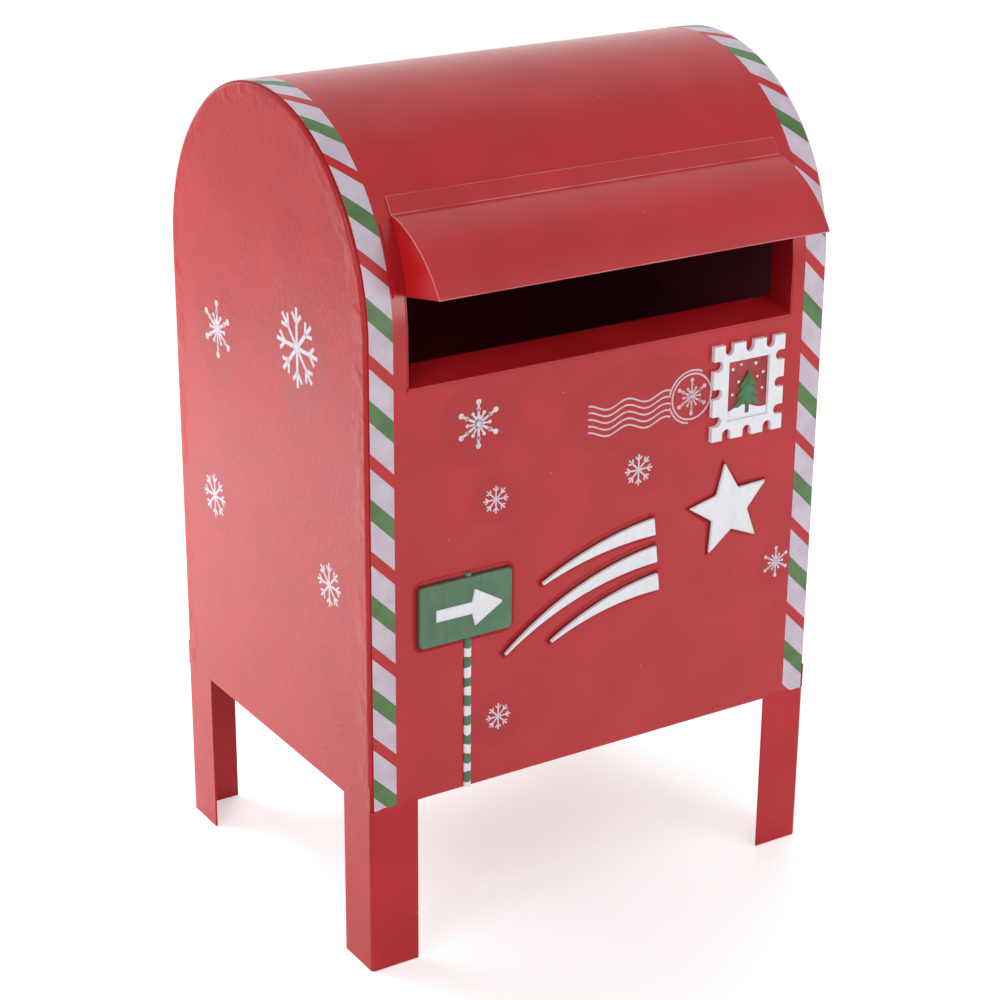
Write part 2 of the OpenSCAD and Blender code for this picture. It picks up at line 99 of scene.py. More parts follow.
def welded(node, coats, name):
    """Copy a CAD node, weld its loose triangles into plain faces, and give it its coats."""
    piece = set_out(name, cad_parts[node].data.copy())
    piece.data.materials.clear()
    for coat in coats:
        piece.data.materials.append(coat)
    bpy.ops.mesh.customdata_custom_splitnormals_clear()
    bpy.ops.object.mode_set(mode="EDIT")
    bpy.ops.mesh.select_all(action="SELECT")
    bpy.ops.mesh.remove_doubles(threshold=WELD_REACH)
    bpy.ops.mesh.dissolve_limited(angle_limit=FLAT_ANGLE)
    bpy.ops.object.mode_set(mode="OBJECT")
    return piece


def bevelled(piece, width, steps, sharp, rim=-1):
    """Round the edges over an angle, with a coat of their own where rim names one."""
    rounding = piece.modifiers.new("rounding", "BEVEL")
    rounding.width = width
    rounding.segments = steps
    rounding.limit_method = "ANGLE"
    rounding.angle_limit = sharp
    rounding.material = rim
    bpy.ops.object.modifier_apply(modifier="rounding")


def rounded(piece, edge, steps, rim=-1):
    """Round all sharp edges and even out the shading between the faces."""
    bevelled(piece, edge, steps, SHARP_ANGLE, rim)
    bpy.ops.object.shade_smooth_by_angle(angle=SHARP_ANGLE)
    evening = piece.modifiers.new("evening", "WEIGHTED_NORMAL")
    evening.keep_sharp = True
    bpy.ops.object.modifier_apply(modifier="evening")


def softened(node, edge, coats, body="box", steps=2):
    """Stand-in for a CAD node with its edges rounded as paint and pressing leave them."""
    piece = welded(node, coats, node + "_painted")
    rounded(piece, edge, steps)
    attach(piece, body)
    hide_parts(node)
    return piece


def shader_node(tree, kind, settings=None, inputs=None):
    """Add a node, set its settings, and set or link its inputs."""
    made = tree.nodes.new(kind)
    for key, value in (settings or {}).items():
        setattr(made, key, value)
    for key, value in (inputs or {}).items():
        if isinstance(value, bpy.types.NodeSocket):
            tree.links.new(value, made.inputs[key])
        else:
            made.inputs[key].default_value = value
    return made


def reckon(tree, operation, *values):
    """One sum of the given values."""
    return shader_node(tree, "ShaderNodeMath", {"operation": operation}, dict(enumerate(values))).outputs[0]


def ramped(tree, value, low, high, at_low=0.0, at_high=1.0):
    """Smooth change from one value to another between two limits."""
    ramp = shader_node(
        tree, "ShaderNodeMapRange", {"interpolation_type": "SMOOTHSTEP"},
        {"Value": value, "From Min": low, "From Max": high, "To Min": at_low, "To Max": at_high},
    )
    return ramp.outputs[0]


def tinted(tree, share, under, over):
    """One colour laid over another."""
    tint = shader_node(tree, "ShaderNodeMix", {"data_type": "RGBA"}, {0: share, 6: under, 7: over})
    return tint.outputs[2]


def speckle(tree, place, scale, detail=2.0, stretch=None):
    """Cloudy noise, stretched along an axis where a stretch is given."""
    if stretch:
        place = shader_node(tree, "ShaderNodeMapping", {}, {"Vector": place, "Scale": stretch}).outputs[0]
    cloud = shader_node(tree, "ShaderNodeTexNoise", {}, {"Vector": place, "Scale": scale, "Detail": detail})
    return cloud.outputs[0]


def finish_of(name):
    """Start a material and return it with its tree, its shader and its Object coordinates."""
    finish = bpy.data.materials.new(name)
    finish.use_nodes = True
    tree = finish.node_tree
    tree.nodes.clear()
    shader = tree.nodes.new("ShaderNodeBsdfPrincipled")
    out = tree.nodes.new("ShaderNodeOutputMaterial")
    tree.links.new(shader.outputs[0], out.inputs["Surface"])
    place = tree.nodes.new("ShaderNodeTexCoord").outputs["Object"]
    return finish, tree, shader, place


def raised_by(tree, height, depth, under=None):
    """Bump of a given depth in metres, on top of another bump where there is one."""
    feeds = {"Strength": 1.0, "Distance": depth, "Height": height}
    if under:
        feeds["Normal"] = under
    return shader_node(tree, "ShaderNodeBump", {}, feeds).outputs[0]


sprayed_skin = bpy.data.node_groups.new("sprayed_skin", "ShaderNodeTree")
for socket_name, way, kind in (
    ("Position", "INPUT", "NodeSocketVector"),
    ("Peel", "OUTPUT", "NodeSocketFloat"),
    ("Sheet Waves", "OUTPUT", "NodeSocketFloat"),
    ("Tone", "OUTPUT", "NodeSocketFloat"),
    ("Dust", "OUTPUT", "NodeSocketFloat"),
):
    sprayed_skin.interface.new_socket(socket_name, in_out=way, socket_type=kind)
skin_in = sprayed_skin.nodes.new("NodeGroupInput").outputs["Position"]
skin_out = sprayed_skin.nodes.new("NodeGroupOutput")
for socket_name, scale, detail in (
    ("Peel", PEEL_SCALE, 2.0),
    ("Sheet Waves", BULGE_SCALE, 1.0),
    ("Tone", TONE_SCALE, 1.5),
):
    sprayed_skin.links.new(speckle(sprayed_skin, skin_in, scale, detail), skin_out.inputs[socket_name])
dust_cells = shader_node(sprayed_skin, "ShaderNodeTexVoronoi", {}, {"Vector": skin_in, "Scale": DUST_SCALE})
dust_tints = shader_node(sprayed_skin, "ShaderNodeSeparateColor", {}, {0: dust_cells.outputs["Color"]})
dust_reach = ramped(sprayed_skin, dust_tints.outputs[0], 0.86, 1.0, 0.0, DUST_REACH)
dust_mask = reckon(sprayed_skin, "LESS_THAN", dust_cells.outputs["Distance"], dust_reach)
sprayed_skin.links.new(dust_mask, skin_out.inputs["Dust"])


def varnish_cover(tree, place, patches, axis):
    """Mask of ragged round patches, laid out along one axis and up."""
    spot = shader_node(tree, "ShaderNodeSeparateXYZ", {}, {0: place})
    ragged = reckon(tree, "MULTIPLY", speckle(tree, place, 95.0, 3.0), 0.55)
    cover = None
    for middle, reach in patches:
        apart = ragged
        for way, mid, half in zip((axis, "Z"), middle, reach):
            off = reckon(tree, "MULTIPLY_ADD", spot.outputs[way], 1 / half, -mid / half)
            apart = reckon(tree, "ADD", reckon(tree, "MULTIPLY", off, off), apart)
        patch = ramped(tree, apart, 1.42, 1.16)
        cover = reckon(tree, "MAXIMUM", cover, patch) if cover else patch
    if axis == "X":
        on_front = reckon(tree, "LESS_THAN", spot.outputs["Y"], FRONT_Y + VARNISH_DEPTH)
        cover = reckon(tree, "MULTIPLY", cover, on_front)
    return cover


def enamelled(name, deep, bloom, grain=0.0, patches=(), axis="X", shine=ENAMEL_SHINE, dust=DUST_SHARE):
    """Red enamel with orange peel, cloudy tone, dust, fine grain and varnish patches."""
    finish, tree, shader, place = finish_of(name)
    skin = shader_node(tree, "ShaderNodeGroup", {"node_tree": sprayed_skin}, {"Position": place})
    colour = tinted(tree, ramped(tree, skin.outputs["Tone"], 0.25, 0.75), deep, bloom)
    gloss = ramped(tree, skin.outputs["Tone"], 0.30, 0.70, *ENAMEL_GLOSS)
    if patches:
        cover = varnish_cover(tree, place, patches, axis)
        colour = tinted(tree, reckon(tree, "MULTIPLY", cover, VARNISH_SHARE), colour, VARNISHED_RED)
        gloss = reckon(tree, "SUBTRACT", gloss, reckon(tree, "MULTIPLY", cover, VARNISH_SMOOTHING))
    colour = tinted(tree, reckon(tree, "MULTIPLY", skin.outputs["Dust"], dust), colour, DUST_PINK)
    tree.links.new(colour, shader.inputs["Base Color"])
    tree.links.new(gloss, shader.inputs["Roughness"])
    shader.inputs["Specular IOR Level"].default_value = shine
    bulges = raised_by(tree, skin.outputs["Sheet Waves"], BULGE_DEPTH)
    skin_normal = raised_by(tree, skin.outputs["Peel"], PEEL_DEPTH, bulges)
    if grain:
        leathery = speckle(tree, place, GRAIN_SCALE, 3.0, GRAIN_STRETCH)
        skin_normal = raised_by(tree, leathery, grain, skin_normal)
    tree.links.new(skin_normal, shader.inputs["Normal"])
    return finish


def looks_inward(face):
    """True where a face of the shell looks into the box."""
    toward = Vector((0, face.center.y, max(face.center.z - ROOF_Z, 0)))
    return face.normal.dot(toward) < -0.02 * toward.length


def rims_opening(face):
    """True where a face is the cut edge round the rear opening."""
    in_back = face.center.y > BACK_INSIDE_Y and abs(face.normal.y) < 0.8
    return in_back and abs(face.center.x) < OPENING_HALF and face.center.z > OPENING_LOW


wrap_enamel = enamelled("red_enamel_wrap", ENAMEL_DEEP, ENAMEL_BLOOM, patches=VARNISH_PATCHES)
inside_enamel = enamelled("thin_inside_enamel", INSIDE_DARK, INSIDE_BLOOM)
wrap = softened("body_wrap", CUT_EDGE, (wrap_enamel, inside_enamel))
for face in wrap.data.polygons:
    if rims_opening(face) or (looks_inward(face) and abs(face.normal.x) < 0.5):
        face.material_index = 1


# The end pans close the box left and right: flat arched sheets with a rounded fold and a
# flange tucked under the wrap. Rolling the fold by hand left small dents along the
# shoulder, and the paint on the flat dried to a fine leathery grain.

PAN_FACE = 0.100
PAN_SHINE = 0.30
PAN_GRAIN = 0.00012
PAN_DUST = 0.20
DENTS_FROM = 0.0645
DENTS_TO = 0.0725
DENT_DEPTH = 0.00022
END_PATCHES = (
    ((0.0375, 0.2200), (0.019, 0.023)),
    ((-0.0261, 0.2307), (0.022, 0.025)),
    ((0.0446, 0.1506), (0.013, 0.015)),
    ((-0.0468, 0.1469), (0.013, 0.014)),
)


def opened(finish):
    """Tree, shader and Object coordinates of a finish that is made already."""
    tree = finish.node_tree
    shader = next(n for n in tree.nodes if n.type == "BSDF_PRINCIPLED")
    place = next(n for n in tree.nodes if n.type == "TEX_COORD").outputs["Object"]
    return tree, shader, place


def dented(finish):
    """Press shallow dents into the rim of an enamelled end pan."""
    tree, shader, place = opened(finish)
    spot = shader_node(tree, "ShaderNodeSeparateXYZ", {}, {0: place})
    rise = reckon(tree, "MAXIMUM", reckon(tree, "SUBTRACT", spot.outputs["Z"], ROOF_Z), 0.0)
    across = reckon(tree, "MULTIPLY", spot.outputs["Y"], spot.outputs["Y"])
    reach = reckon(tree, "SQRT", reckon(tree, "ADD", across, reckon(tree, "MULTIPLY", rise, rise)))
    rim = ramped(tree, reach, DENTS_FROM, DENTS_TO)
    knocks = ramped(tree, speckle(tree, place, 95.0, 1.5), 0.42, 0.62)
    under = shader.inputs["Normal"].links[0].from_socket
    dents = raised_by(tree, reckon(tree, "MULTIPLY", rim, knocks), DENT_DEPTH, under)
    tree.links.new(dents, shader.inputs["Normal"])
    return finish


pan_coat = enamelled(
    "red_enamel_pan", ENAMEL_DEEP, ENAMEL_BLOOM, PAN_GRAIN, END_PATCHES, "Y", PAN_SHINE, PAN_DUST
)
pan_enamel = dented(pan_coat)
for side in ("left", "right"):
    pan = softened("end_pan_" + side, CUT_EDGE, (pan_enamel, inside_enamel))
    for face in pan.data.polygons:
        if face.normal.x * face.center.x < -0.05 or looks_inward(face):
            face.material_index = 1


# The four legs are angles folded from heavier sheet, flush with the body and soldered to
# it from inside and along the seam; the solder was filed and sprayed over, so only a
# lumpy line of paint is left to see where leg and body meet.

LEG_TOP = 0.067
LEG_WIDTH = 0.020
LEG_EDGE = 0.00025
LEG_SHINE = 0.30
LEG_GRAIN = 0.00002
SEAM_HALF = 0.0019
SEAM_RISE = 0.00007
SEAM_SINK = 0.00004
SEAM_WALL = 0.0003
SEAM_WANDER = 0.0004
SEAM_INSET = 0.0015
SEAM_SIDES = (
    (0, -FRONT_Y, PAN_FACE),
    (180, -FRONT_Y, PAN_FACE),
    (90, PAN_FACE, -FRONT_Y),
    (-90, PAN_FACE, -FRONT_Y),
)

leg_enamel = enamelled("red_enamel_leg", ENAMEL_DEEP, ENAMEL_BLOOM, LEG_GRAIN, shine=LEG_SHINE)
for corner in ("front_left", "front_right", "back_left", "back_right"):
    leg = softened("leg_" + corner, LEG_EDGE, (leg_enamel,))


def start_flat(name):
    """Empty mesh in edit mode, ready for flat shapes."""
    flat = set_out(name, bpy.data.meshes.new(name))
    bpy.ops.object.mode_set(mode="EDIT")
    return flat


def lay_flat(middle, width, height, cuts=(1, 1)):
    """Add a flat rectangle on the X-Z plane in edit mode, cut into a grid."""
    bpy.ops.mesh.primitive_grid_add(
        x_subdivisions=cuts[0], y_subdivisions=cuts[1], size=1,
        location=middle, rotation=(math.pi / 2, 0, 0),
    )
    bpy.ops.transform.resize(value=(width, 1, height), center_override=middle)


def flat_patch(name, middle, width, height, cuts=(1, 1)):
    """Flat rectangle on the X-Z plane as an object of its own."""
    patch = start_flat(name)
    lay_flat(middle, width, height, cuts)
    bpy.ops.object.mode_set(mode="OBJECT")
    return patch


def thickened(sheet, thickness, offset):
    """Give an open sheet a wall, to one side of it."""
    wall = sheet.modifiers.new("wall", "SOLIDIFY")
    wall.thickness = thickness
    wall.offset = offset
    bpy.ops.object.modifier_apply(modifier="wall")


def solder_seam(name, low_x, high_x, seed):
    """Flat lumpy strip along X in front of the origin, modelled on the X-Z plane."""
    long = high_x - low_x
    seam = flat_patch(name, ((low_x + high_x) / 2, 0, 0), long, 2 * SEAM_HALF, (36, 8))
    for vertex in seam.data.vertices:
        along = (vertex.co.x - low_x) / long
        across = vertex.co.z / SEAM_HALF
        lump = 0.65 + 0.5 * noise.noise((vertex.co.x * 260, vertex.co.z * 260, seed))
        swell = max(0.0, 1 - across * across) * min(1.0, 9 * along, 9 * (1 - along))
        vertex.co.y = -SEAM_RISE * swell * lump + SEAM_SINK * (1 - swell)
        vertex.co.z += SEAM_WANDER * noise.noise((vertex.co.x * 160, 4.0, seed))
    thickened(seam, SEAM_WALL, -1 if seam.data.polygons[0].normal.y < 0 else 1)
    bpy.ops.object.shade_smooth_by_angle(angle=math.radians(60))
    return seam


number = 0
for turn, reach, half in SEAM_SIDES:
    to_side = Matrix.Rotation(math.radians(turn), 4, "Z") @ Matrix.Translation((0, -reach, LEG_TOP))
    for low, high in ((SEAM_INSET - half, LEG_WIDTH - half), (half - LEG_WIDTH, half - SEAM_INSET)):
        seam = solder_seam("solder_seam_%d" % (number + 1), low, high, 3.7 * number)
        seam.data.transform(to_side)
        seam.data.materials.append(leg_enamel)
        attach(seam, "box")
        number += 1


# The floor tray is a tin sheet with a lip folded up all round, dropped in on the leg tops.
# It is only seen from below and through the rear door.

TRAY_THIN = (0.27, 0.012, 0.016, 1)

floor_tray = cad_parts["floor_tray"]
floor_tray.data.materials.clear()
tray_enamel = enamelled("thin_tray_enamel", TRAY_THIN, ENAMEL_DEEP)
floor_tray.data.materials.append(tray_enamel)


# The slot's lips are folded in from the front sheet, and a narrow trim runs below it.
# The liner takes a darker red than the box: painted shade for the inside of the slot.

LIP_EDGE = 0.00015
# Darker reds: painted shade, used in the slot and on the cheek flanges.
PAINTED_SHADE_DEEP = (0.41, 0.009, 0.014, 1)
PAINTED_SHADE_PALE = (0.47, 0.013, 0.018, 1)

# Darker red over the liner: painted shade inside the slot.
lip_shade_enamel = enamelled("slot_enamel_painted_shade", PAINTED_SHADE_DEEP, PAINTED_SHADE_PALE)
slot_liner = softened("slot_liner", LIP_EDGE, (lip_shade_enamel,))


# The hood over the slot is a rolled sheet with a hem at its lip and a flange on the roof,
# closed by two cheeks with flanges of their own. The cheeks get a brighter red, painted light,
# and their flanges a darker red, painted shade. The rims are paler: a painted highlight along
# the cut edges, patchy where the paint is rubbed through.

# Paler rim colours: painted highlight on the cut edges, with rubbed-through spots.
RIM_HIGHLIGHT_RED = (0.53, 0.040, 0.045, 1)
RUBBED_HIGHLIGHT_PINK = (0.72, 0.270, 0.270, 1)
HOOD_SHINE = 0.54
HOOD_GRAIN = 0.00001
HOOD_EDGE = 0.00027
# Brighter red of the cheeks: painted light, for the light bounced between hood and body.
CHEEK_LIT_DEEP = (0.59, 0.011, 0.012, 1)
CHEEK_LIT_BLOOM = (0.64, 0.014, 0.016, 1)
CHEEK_SHINE = 0.30
CHEEK_FLANGE_X = 0.0832
FOLD_Y = -0.0638
HOOD_MIDDLE = Vector((-0.0556, 0.2404))
HOOD_TOP_R = 0.0440
SWELL_PEAK = 0.0035
SWELL_RISE = 0.00028
SWELL_STEP = 0.0007
SWELL_CUTS = 13

hood_enamel = enamelled("red_enamel_hood", ENAMEL_DEEP, ENAMEL_BLOOM, HOOD_GRAIN, shine=HOOD_SHINE)
rim_highlight_enamel = enamelled("rubbed_rim_highlight_enamel", RIM_HIGHLIGHT_RED, RUBBED_HIGHLIGHT_PINK)
# The cheek flanges take the slot's darker red: painted shade.
flange_shade_enamel = enamelled("red_enamel_flange_painted_shade", PAINTED_SHADE_DEEP, PAINTED_SHADE_PALE)
# Cheeks get the brighter red: painted light.
cheek_lit_enamel = enamelled("red_enamel_cheek_painted_light", CHEEK_LIT_DEEP, CHEEK_LIT_BLOOM, shine=CHEEK_SHINE)
for node, coat in (
    ("hood_sheet", hood_enamel),
    ("hood_cheek_left", cheek_lit_enamel),
    ("hood_cheek_right", cheek_lit_enamel),
):
    hood = welded(node, (coat, rim_highlight_enamel, flange_shade_enamel), node + "_painted")
    bpy.ops.object.mode_set(mode="EDIT")
    for step in range(1, SWELL_CUTS + 1):
        bpy.ops.mesh.select_all(action="SELECT")
        bpy.ops.mesh.bisect(plane_co=(0, FOLD_Y - step * SWELL_STEP, 0), plane_no=(0, 1, 0))
    bpy.ops.object.mode_set(mode="OBJECT")
    for vertex in hood.data.vertices:
        past_fold = (FOLD_Y - vertex.co.y) / SWELL_PEAK
        from_middle = (Vector((vertex.co.y, vertex.co.z)) - HOOD_MIDDLE).length
        if past_fold > 0 and from_middle > HOOD_TOP_R:
            vertex.co.z += SWELL_RISE * past_fold * math.exp(1 - past_fold)
    # Faces of the cheek flanges get the darker red: painted shade.
    for face in hood.data.polygons:
        if abs(face.center.x) > CHEEK_FLANGE_X and abs(face.normal.x) < 0.5:
            face.material_index = 2
    # The bevelled edges take the rim coat: painted highlight.
    rounded(hood, HOOD_EDGE, 2, rim=1)
    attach(hood, "box")
    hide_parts(node)


# The striped bands are printed on both edges of the wrap, from the leg tops up the front,
# over the roof and down the back: white and green laid on the red at 45 degrees, with
# bare red left between. The print is a thin ink film with small pinholes.

BAND_MIDDLE = 0.0938
BAND_WIDTH = 0.0094
BAND_FOOT = LEG_TOP + 0.0003
BAND_PROUD = 0.00004
BAND_FILM = 0.00003
LEFT_PHASE = 0.03015
RIGHT_PHASE = 0.01040
STRIPE_PERIOD = 0.03615
STRIPE_WANDER = 0.0003
RED_SHARE = 0.149
GREEN_FROM = 0.467
GREEN_TO = 0.689
PINHOLE_SHARE = 0.35
ENAMEL_RED = (0.50, 0.013, 0.018, 1)
INK_WHITE = (0.66, 0.58, 0.68, 1)
INK_WHITE_THIN = (0.60, 0.50, 0.60, 1)
INK_GREEN = (0.090, 0.205, 0.066, 1)
INK_GREEN_DEEP = (0.070, 0.155, 0.050, 1)
INK_DEPTH = 0.00001


def striped_ink(name, phase):
    """Diagonal stripes on the band's own map: across the band, then along its run."""
    finish, tree, shader, place = finish_of(name)
    run = shader_node(tree, "ShaderNodeUVMap", {"uv_map": "run"}).outputs[0]
    spot = shader_node(tree, "ShaderNodeSeparateXYZ", {}, {0: run})
    wander = reckon(tree, "MULTIPLY", speckle(tree, place, 900.0), STRIPE_WANDER)
    along = reckon(tree, "ADD", reckon(tree, "ADD", spot.outputs["X"], spot.outputs["Y"]), wander)
    turns = reckon(tree, "DIVIDE", reckon(tree, "SUBTRACT", along, phase), STRIPE_PERIOD)
    turn = reckon(tree, "FRACT", turns)
    printed = reckon(tree, "GREATER_THAN", turn, RED_SHARE)
    past_white = reckon(tree, "GREATER_THAN", turn, GREEN_FROM)
    green = reckon(tree, "MULTIPLY", past_white, reckon(tree, "LESS_THAN", turn, GREEN_TO))
    cloud = speckle(tree, place, 130.0, 4.0)
    worn = ramped(tree, cloud, 0.35, 0.65)
    white = tinted(tree, worn, INK_WHITE, INK_WHITE_THIN)
    leaf = tinted(tree, worn, INK_GREEN, INK_GREEN_DEEP)
    ink = tinted(tree, green, white, leaf)
    pinholes = ramped(tree, speckle(tree, place, 1500.0), 0.70, 0.76)
    filled = reckon(tree, "SUBTRACT", 1.0, reckon(tree, "MULTIPLY", pinholes, PINHOLE_SHARE))
    cover = reckon(tree, "MULTIPLY", printed, filled)
    tree.links.new(tinted(tree, cover, ENAMEL_RED, ink), shader.inputs["Base Color"])
    tree.links.new(ramped(tree, cloud, 0.3, 0.7, 0.36, 0.46), shader.inputs["Roughness"])
    film = raised_by(tree, reckon(tree, "ADD", printed, speckle(tree, place, PEEL_SCALE)), INK_DEPTH)
    tree.links.new(film, shader.inputs["Normal"])
    return finish


def select_only(piece, chosen, kind):
    """Enter edit mode with the chosen edges or faces selected, and nothing else."""
    for parts in (piece.data.vertices, piece.data.edges, piece.data.polygons):
        for part in parts:
            part.select = False
    for part in chosen:
        part.select = True
    bpy.ops.object.mode_set(mode="EDIT")
    bpy.ops.mesh.select_mode(type=kind)


def edges_where(piece, holds):
    """Edges whose two ends both hold to a rule on their place."""
    corners = piece.data.vertices
    return [edge for edge in piece.data.edges if all(holds(corners[end].co) for end in edge.vertices)]


def printed_band(name, mid_x):
    """Band run up the front, round the roof and down the back, mapped by its length."""
    tile_top = BAND_FOOT + BAND_WIDTH
    tile_middle = (mid_x, -ROOF_R - BAND_PROUD, BAND_FOOT + BAND_WIDTH / 2)
    band = flat_patch(name, tile_middle, BAND_WIDTH, BAND_WIDTH)
    select_only(band, edges_where(band, lambda spot: spot.z > tile_middle[2]), "EDGE")
    bpy.ops.mesh.extrude_region_move(TRANSFORM_OT_translate={"value": (0, 0, ROOF_Z - tile_top)})
    bpy.ops.mesh.spin(steps=72, angle=math.pi, center=(0, 0, ROOF_Z), axis=(1, 0, 0))
    bpy.ops.mesh.extrude_region_move(TRANSFORM_OT_translate={"value": (0, 0, BAND_FOOT - ROOF_Z)})
    bpy.ops.mesh.select_all(action="SELECT")
    bpy.ops.mesh.remove_doubles(threshold=WELD_REACH)
    bpy.ops.mesh.normals_make_consistent(inside=False)
    bpy.ops.object.mode_set(mode="OBJECT")
    run = band.data.uv_layers.new(name="run")
    for loop in band.data.loops:
        spot = band.data.vertices[loop.vertex_index].co
        along = spot.z
        if spot.z >= ROOF_Z - WELD_REACH:
            along = ROOF_Z + ROOF_R * math.atan2(max(spot.z - ROOF_Z, 0), -spot.y)
        elif spot.y > 0:
            along = 2 * ROOF_Z + ROOF_R * math.pi - spot.z
        run.data[loop.index].uv = (spot.x, along)
    thickened(band, BAND_FILM, -1)
    bpy.ops.object.shade_smooth_by_angle(angle=math.radians(30))
    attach(band, "box")
    return band


for side, mid_x, phase in (("left", -BAND_MIDDLE, LEFT_PHASE), ("right", BAND_MIDDLE, RIGHT_PHASE)):
    band = printed_band("stripe_band_" + side, mid_x)
    band.data.materials.append(striped_ink("striped_ink_" + side, phase))


# The snowflakes are printed in the same white ink on the front and on both ends, in two
# patterns: six arms with beads at their tips, and eight arms with forked tips.

FLAKE_WHITE = (0.78, 0.74, 0.82, 1)
FLAKE_THIN = (0.70, 0.56, 0.64, 1)
PRINT_FILM = 0.00003
PRINT_LIFT = 0.000015
BEADED_ON_FRONT = ((-0.0547, 0.2089, 0.0093), (0.0823, 0.1259, 0.0065))
FORKED_ON_FRONT = ((-0.0472, 0.1788, 0.0053), (0.0151, 0.1777, 0.0062), (-0.0455, 0.0922, 0.0053))
BEADED_ON_ENDS = ((0.0375, 0.2200, 0.0114),)
FORKED_ON_ENDS = ((-0.0261, 0.2307, 0.0150), (0.0446, 0.1506, 0.0090), (-0.0468, 0.1469, 0.0086))


def ink_of(name, thick, thin):
    """Screen ink with thin spots and a soft edge to its film."""
    finish, tree, shader, place = finish_of(name)
    cloud = speckle(tree, place, 700.0, 4.0)
    tree.links.new(tinted(tree, ramped(tree, cloud, 0.48, 0.70), thick, thin), shader.inputs["Base Color"])
    tree.links.new(ramped(tree, cloud, 0.3, 0.7, 0.38, 0.50), shader.inputs["Roughness"])
    tree.links.new(raised_by(tree, cloud, INK_DEPTH), shader.inputs["Normal"])
    return finish


def bar(width, low, high, turn=0.0, about=0.0):
    """Flat bar on the X-Z plane between two heights, turned about a point on its axis."""
    bpy.ops.mesh.select_all(action="DESELECT")
    lay_flat((0, 0, (low + high) / 2), width, high - low)
    if turn:
        bpy.ops.transform.rotate(value=turn, orient_axis="Y", center_override=(0, 0, about))


def disc(middle, radius, sides):
    """Flat disc on the X-Z plane."""
    bpy.ops.mesh.primitive_circle_add(
        vertices=sides, radius=radius, fill_type="NGON",
        location=middle, rotation=(math.pi / 2, 0, 0),
    )


def bead(radius, height):
    """Round bead on an arm, or the hub where the arms meet."""
    bpy.ops.mesh.select_all(action="DESELECT")
    disc((0, 0, height), radius, 18)


def ring_of_arms(arms):
    """Turn what has been drawn so far into a ring of arms round the origin."""
    turn = 2 * math.pi * (arms - 1) / arms
    bpy.ops.mesh.select_all(action="SELECT")
    bpy.ops.mesh.spin(steps=arms - 1, dupli=True, angle=turn, center=(0, 0, 0), axis=(0, 1, 0))


def forked_flake():
    """Eight forked arms on a small hub, one unit in radius."""
    flake = start_flat("forked_flake")
    bar(0.105, 0.10, 1.0)
    bar(0.095, 0.60, 0.93, math.radians(42), 0.60)
    bar(0.095, 0.60, 0.93, math.radians(-42), 0.60)
    ring_of_arms(8)
    bead(0.17, 0)
    bpy.ops.object.mode_set(mode="OBJECT")
    return flake


def beaded_flake():
    """Six long arms with beads and six short ones between, one unit in radius, and two dashes."""
    flake = start_flat("beaded_flake")
    bar(0.10, 0.10, 0.90)
    bead(0.115, 0.885)
    bead(0.085, 0.60)
    bar(0.075, 0.10, 0.46, math.radians(30), 0)
    bead(0.075, 0.50)
    bpy.ops.transform.rotate(value=math.radians(30), orient_axis="Y", center_override=(0, 0, 0))
    ring_of_arms(6)
    bar(0.05, 0.1, 0.34, math.radians(15), 0)
    bar(0.05, 0.1, 0.34, math.radians(-15), 0)
    bead(0.20, 0)
    bpy.ops.object.mode_set(mode="OBJECT")
    return flake


def placed(spot, turn=0.0, radius=1.0):
    """Scale a flat pattern, turn it about Z and move it to its spot."""
    shape = Matrix.Diagonal((radius, 1, radius, 1))
    return Matrix.Translation(spot) @ Matrix.Rotation(turn, 4, "Z") @ shape


def print_on(pattern, name, place, ink):
    """Copy a flat pattern to its place as a thin film of ink."""
    mesh = pattern.data.copy()
    mesh.transform(place)
    copy = set_out(name, mesh)
    thickened(copy, PRINT_FILM, 1)
    copy.data.materials.append(ink)
    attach(copy, "box")


flake_ink = ink_of("white_ink", FLAKE_WHITE, FLAKE_THIN)
print_front = FRONT_Y - PRINT_LIFT
print_end = PAN_FACE + PRINT_LIFT
beaded = beaded_flake()
forked = forked_flake()
for kind, pattern, on_front, on_ends in (
    ("beaded", beaded, BEADED_ON_FRONT, BEADED_ON_ENDS),
    ("forked", forked, FORKED_ON_FRONT, FORKED_ON_ENDS),
):
    for number, (mid_x, mid_z, radius) in enumerate(on_front):
        place = placed((mid_x, print_front, mid_z), 0, radius)
        print_on(pattern, "flake_front_%s_%d" % (kind, number + 1), place, flake_ink)
    for number, (mid_y, mid_z, radius) in enumerate(on_ends):
        for side, end_x, turn in (("left", -print_end, -math.pi / 2), ("right", print_end, math.pi / 2)):
            place = placed((end_x, mid_y, mid_z), turn, radius)
            print_on(pattern, "flake_%s_%s_%d" % (side, kind, number + 1), place, flake_ink)
bpy.data.objects.remove(forked)


# The postmark is printed beside the stamp in a thin pink ink: a ring with a broken outer
# ring round a beaded flake, and five wavy lines that run away from it to the left.

POSTMARK_MIDDLE = (0.0383, 0.2021)
POSTMARK_R = 0.0092
POSTMARK_FLAKE_R = 0.0074
OUTER_R = 0.0106
OUTER_GAPS = ((0, 62), (172, 196), (262, 360))
LINE_WIDTH = 0.00068
WAVE_FROM = -0.0080
WAVE_TO = 0.0288
WAVE_HEIGHTS = (0.2053, 0.2028, 0.2002, 0.1976, 0.1951)
WAVE_SWING = 0.0013
WAVE_LENGTH = 0.0172
POSTMARK_PINK = (0.72, 0.56, 0.63, 1)
POSTMARK_FADED = (0.64, 0.38, 0.44, 1)


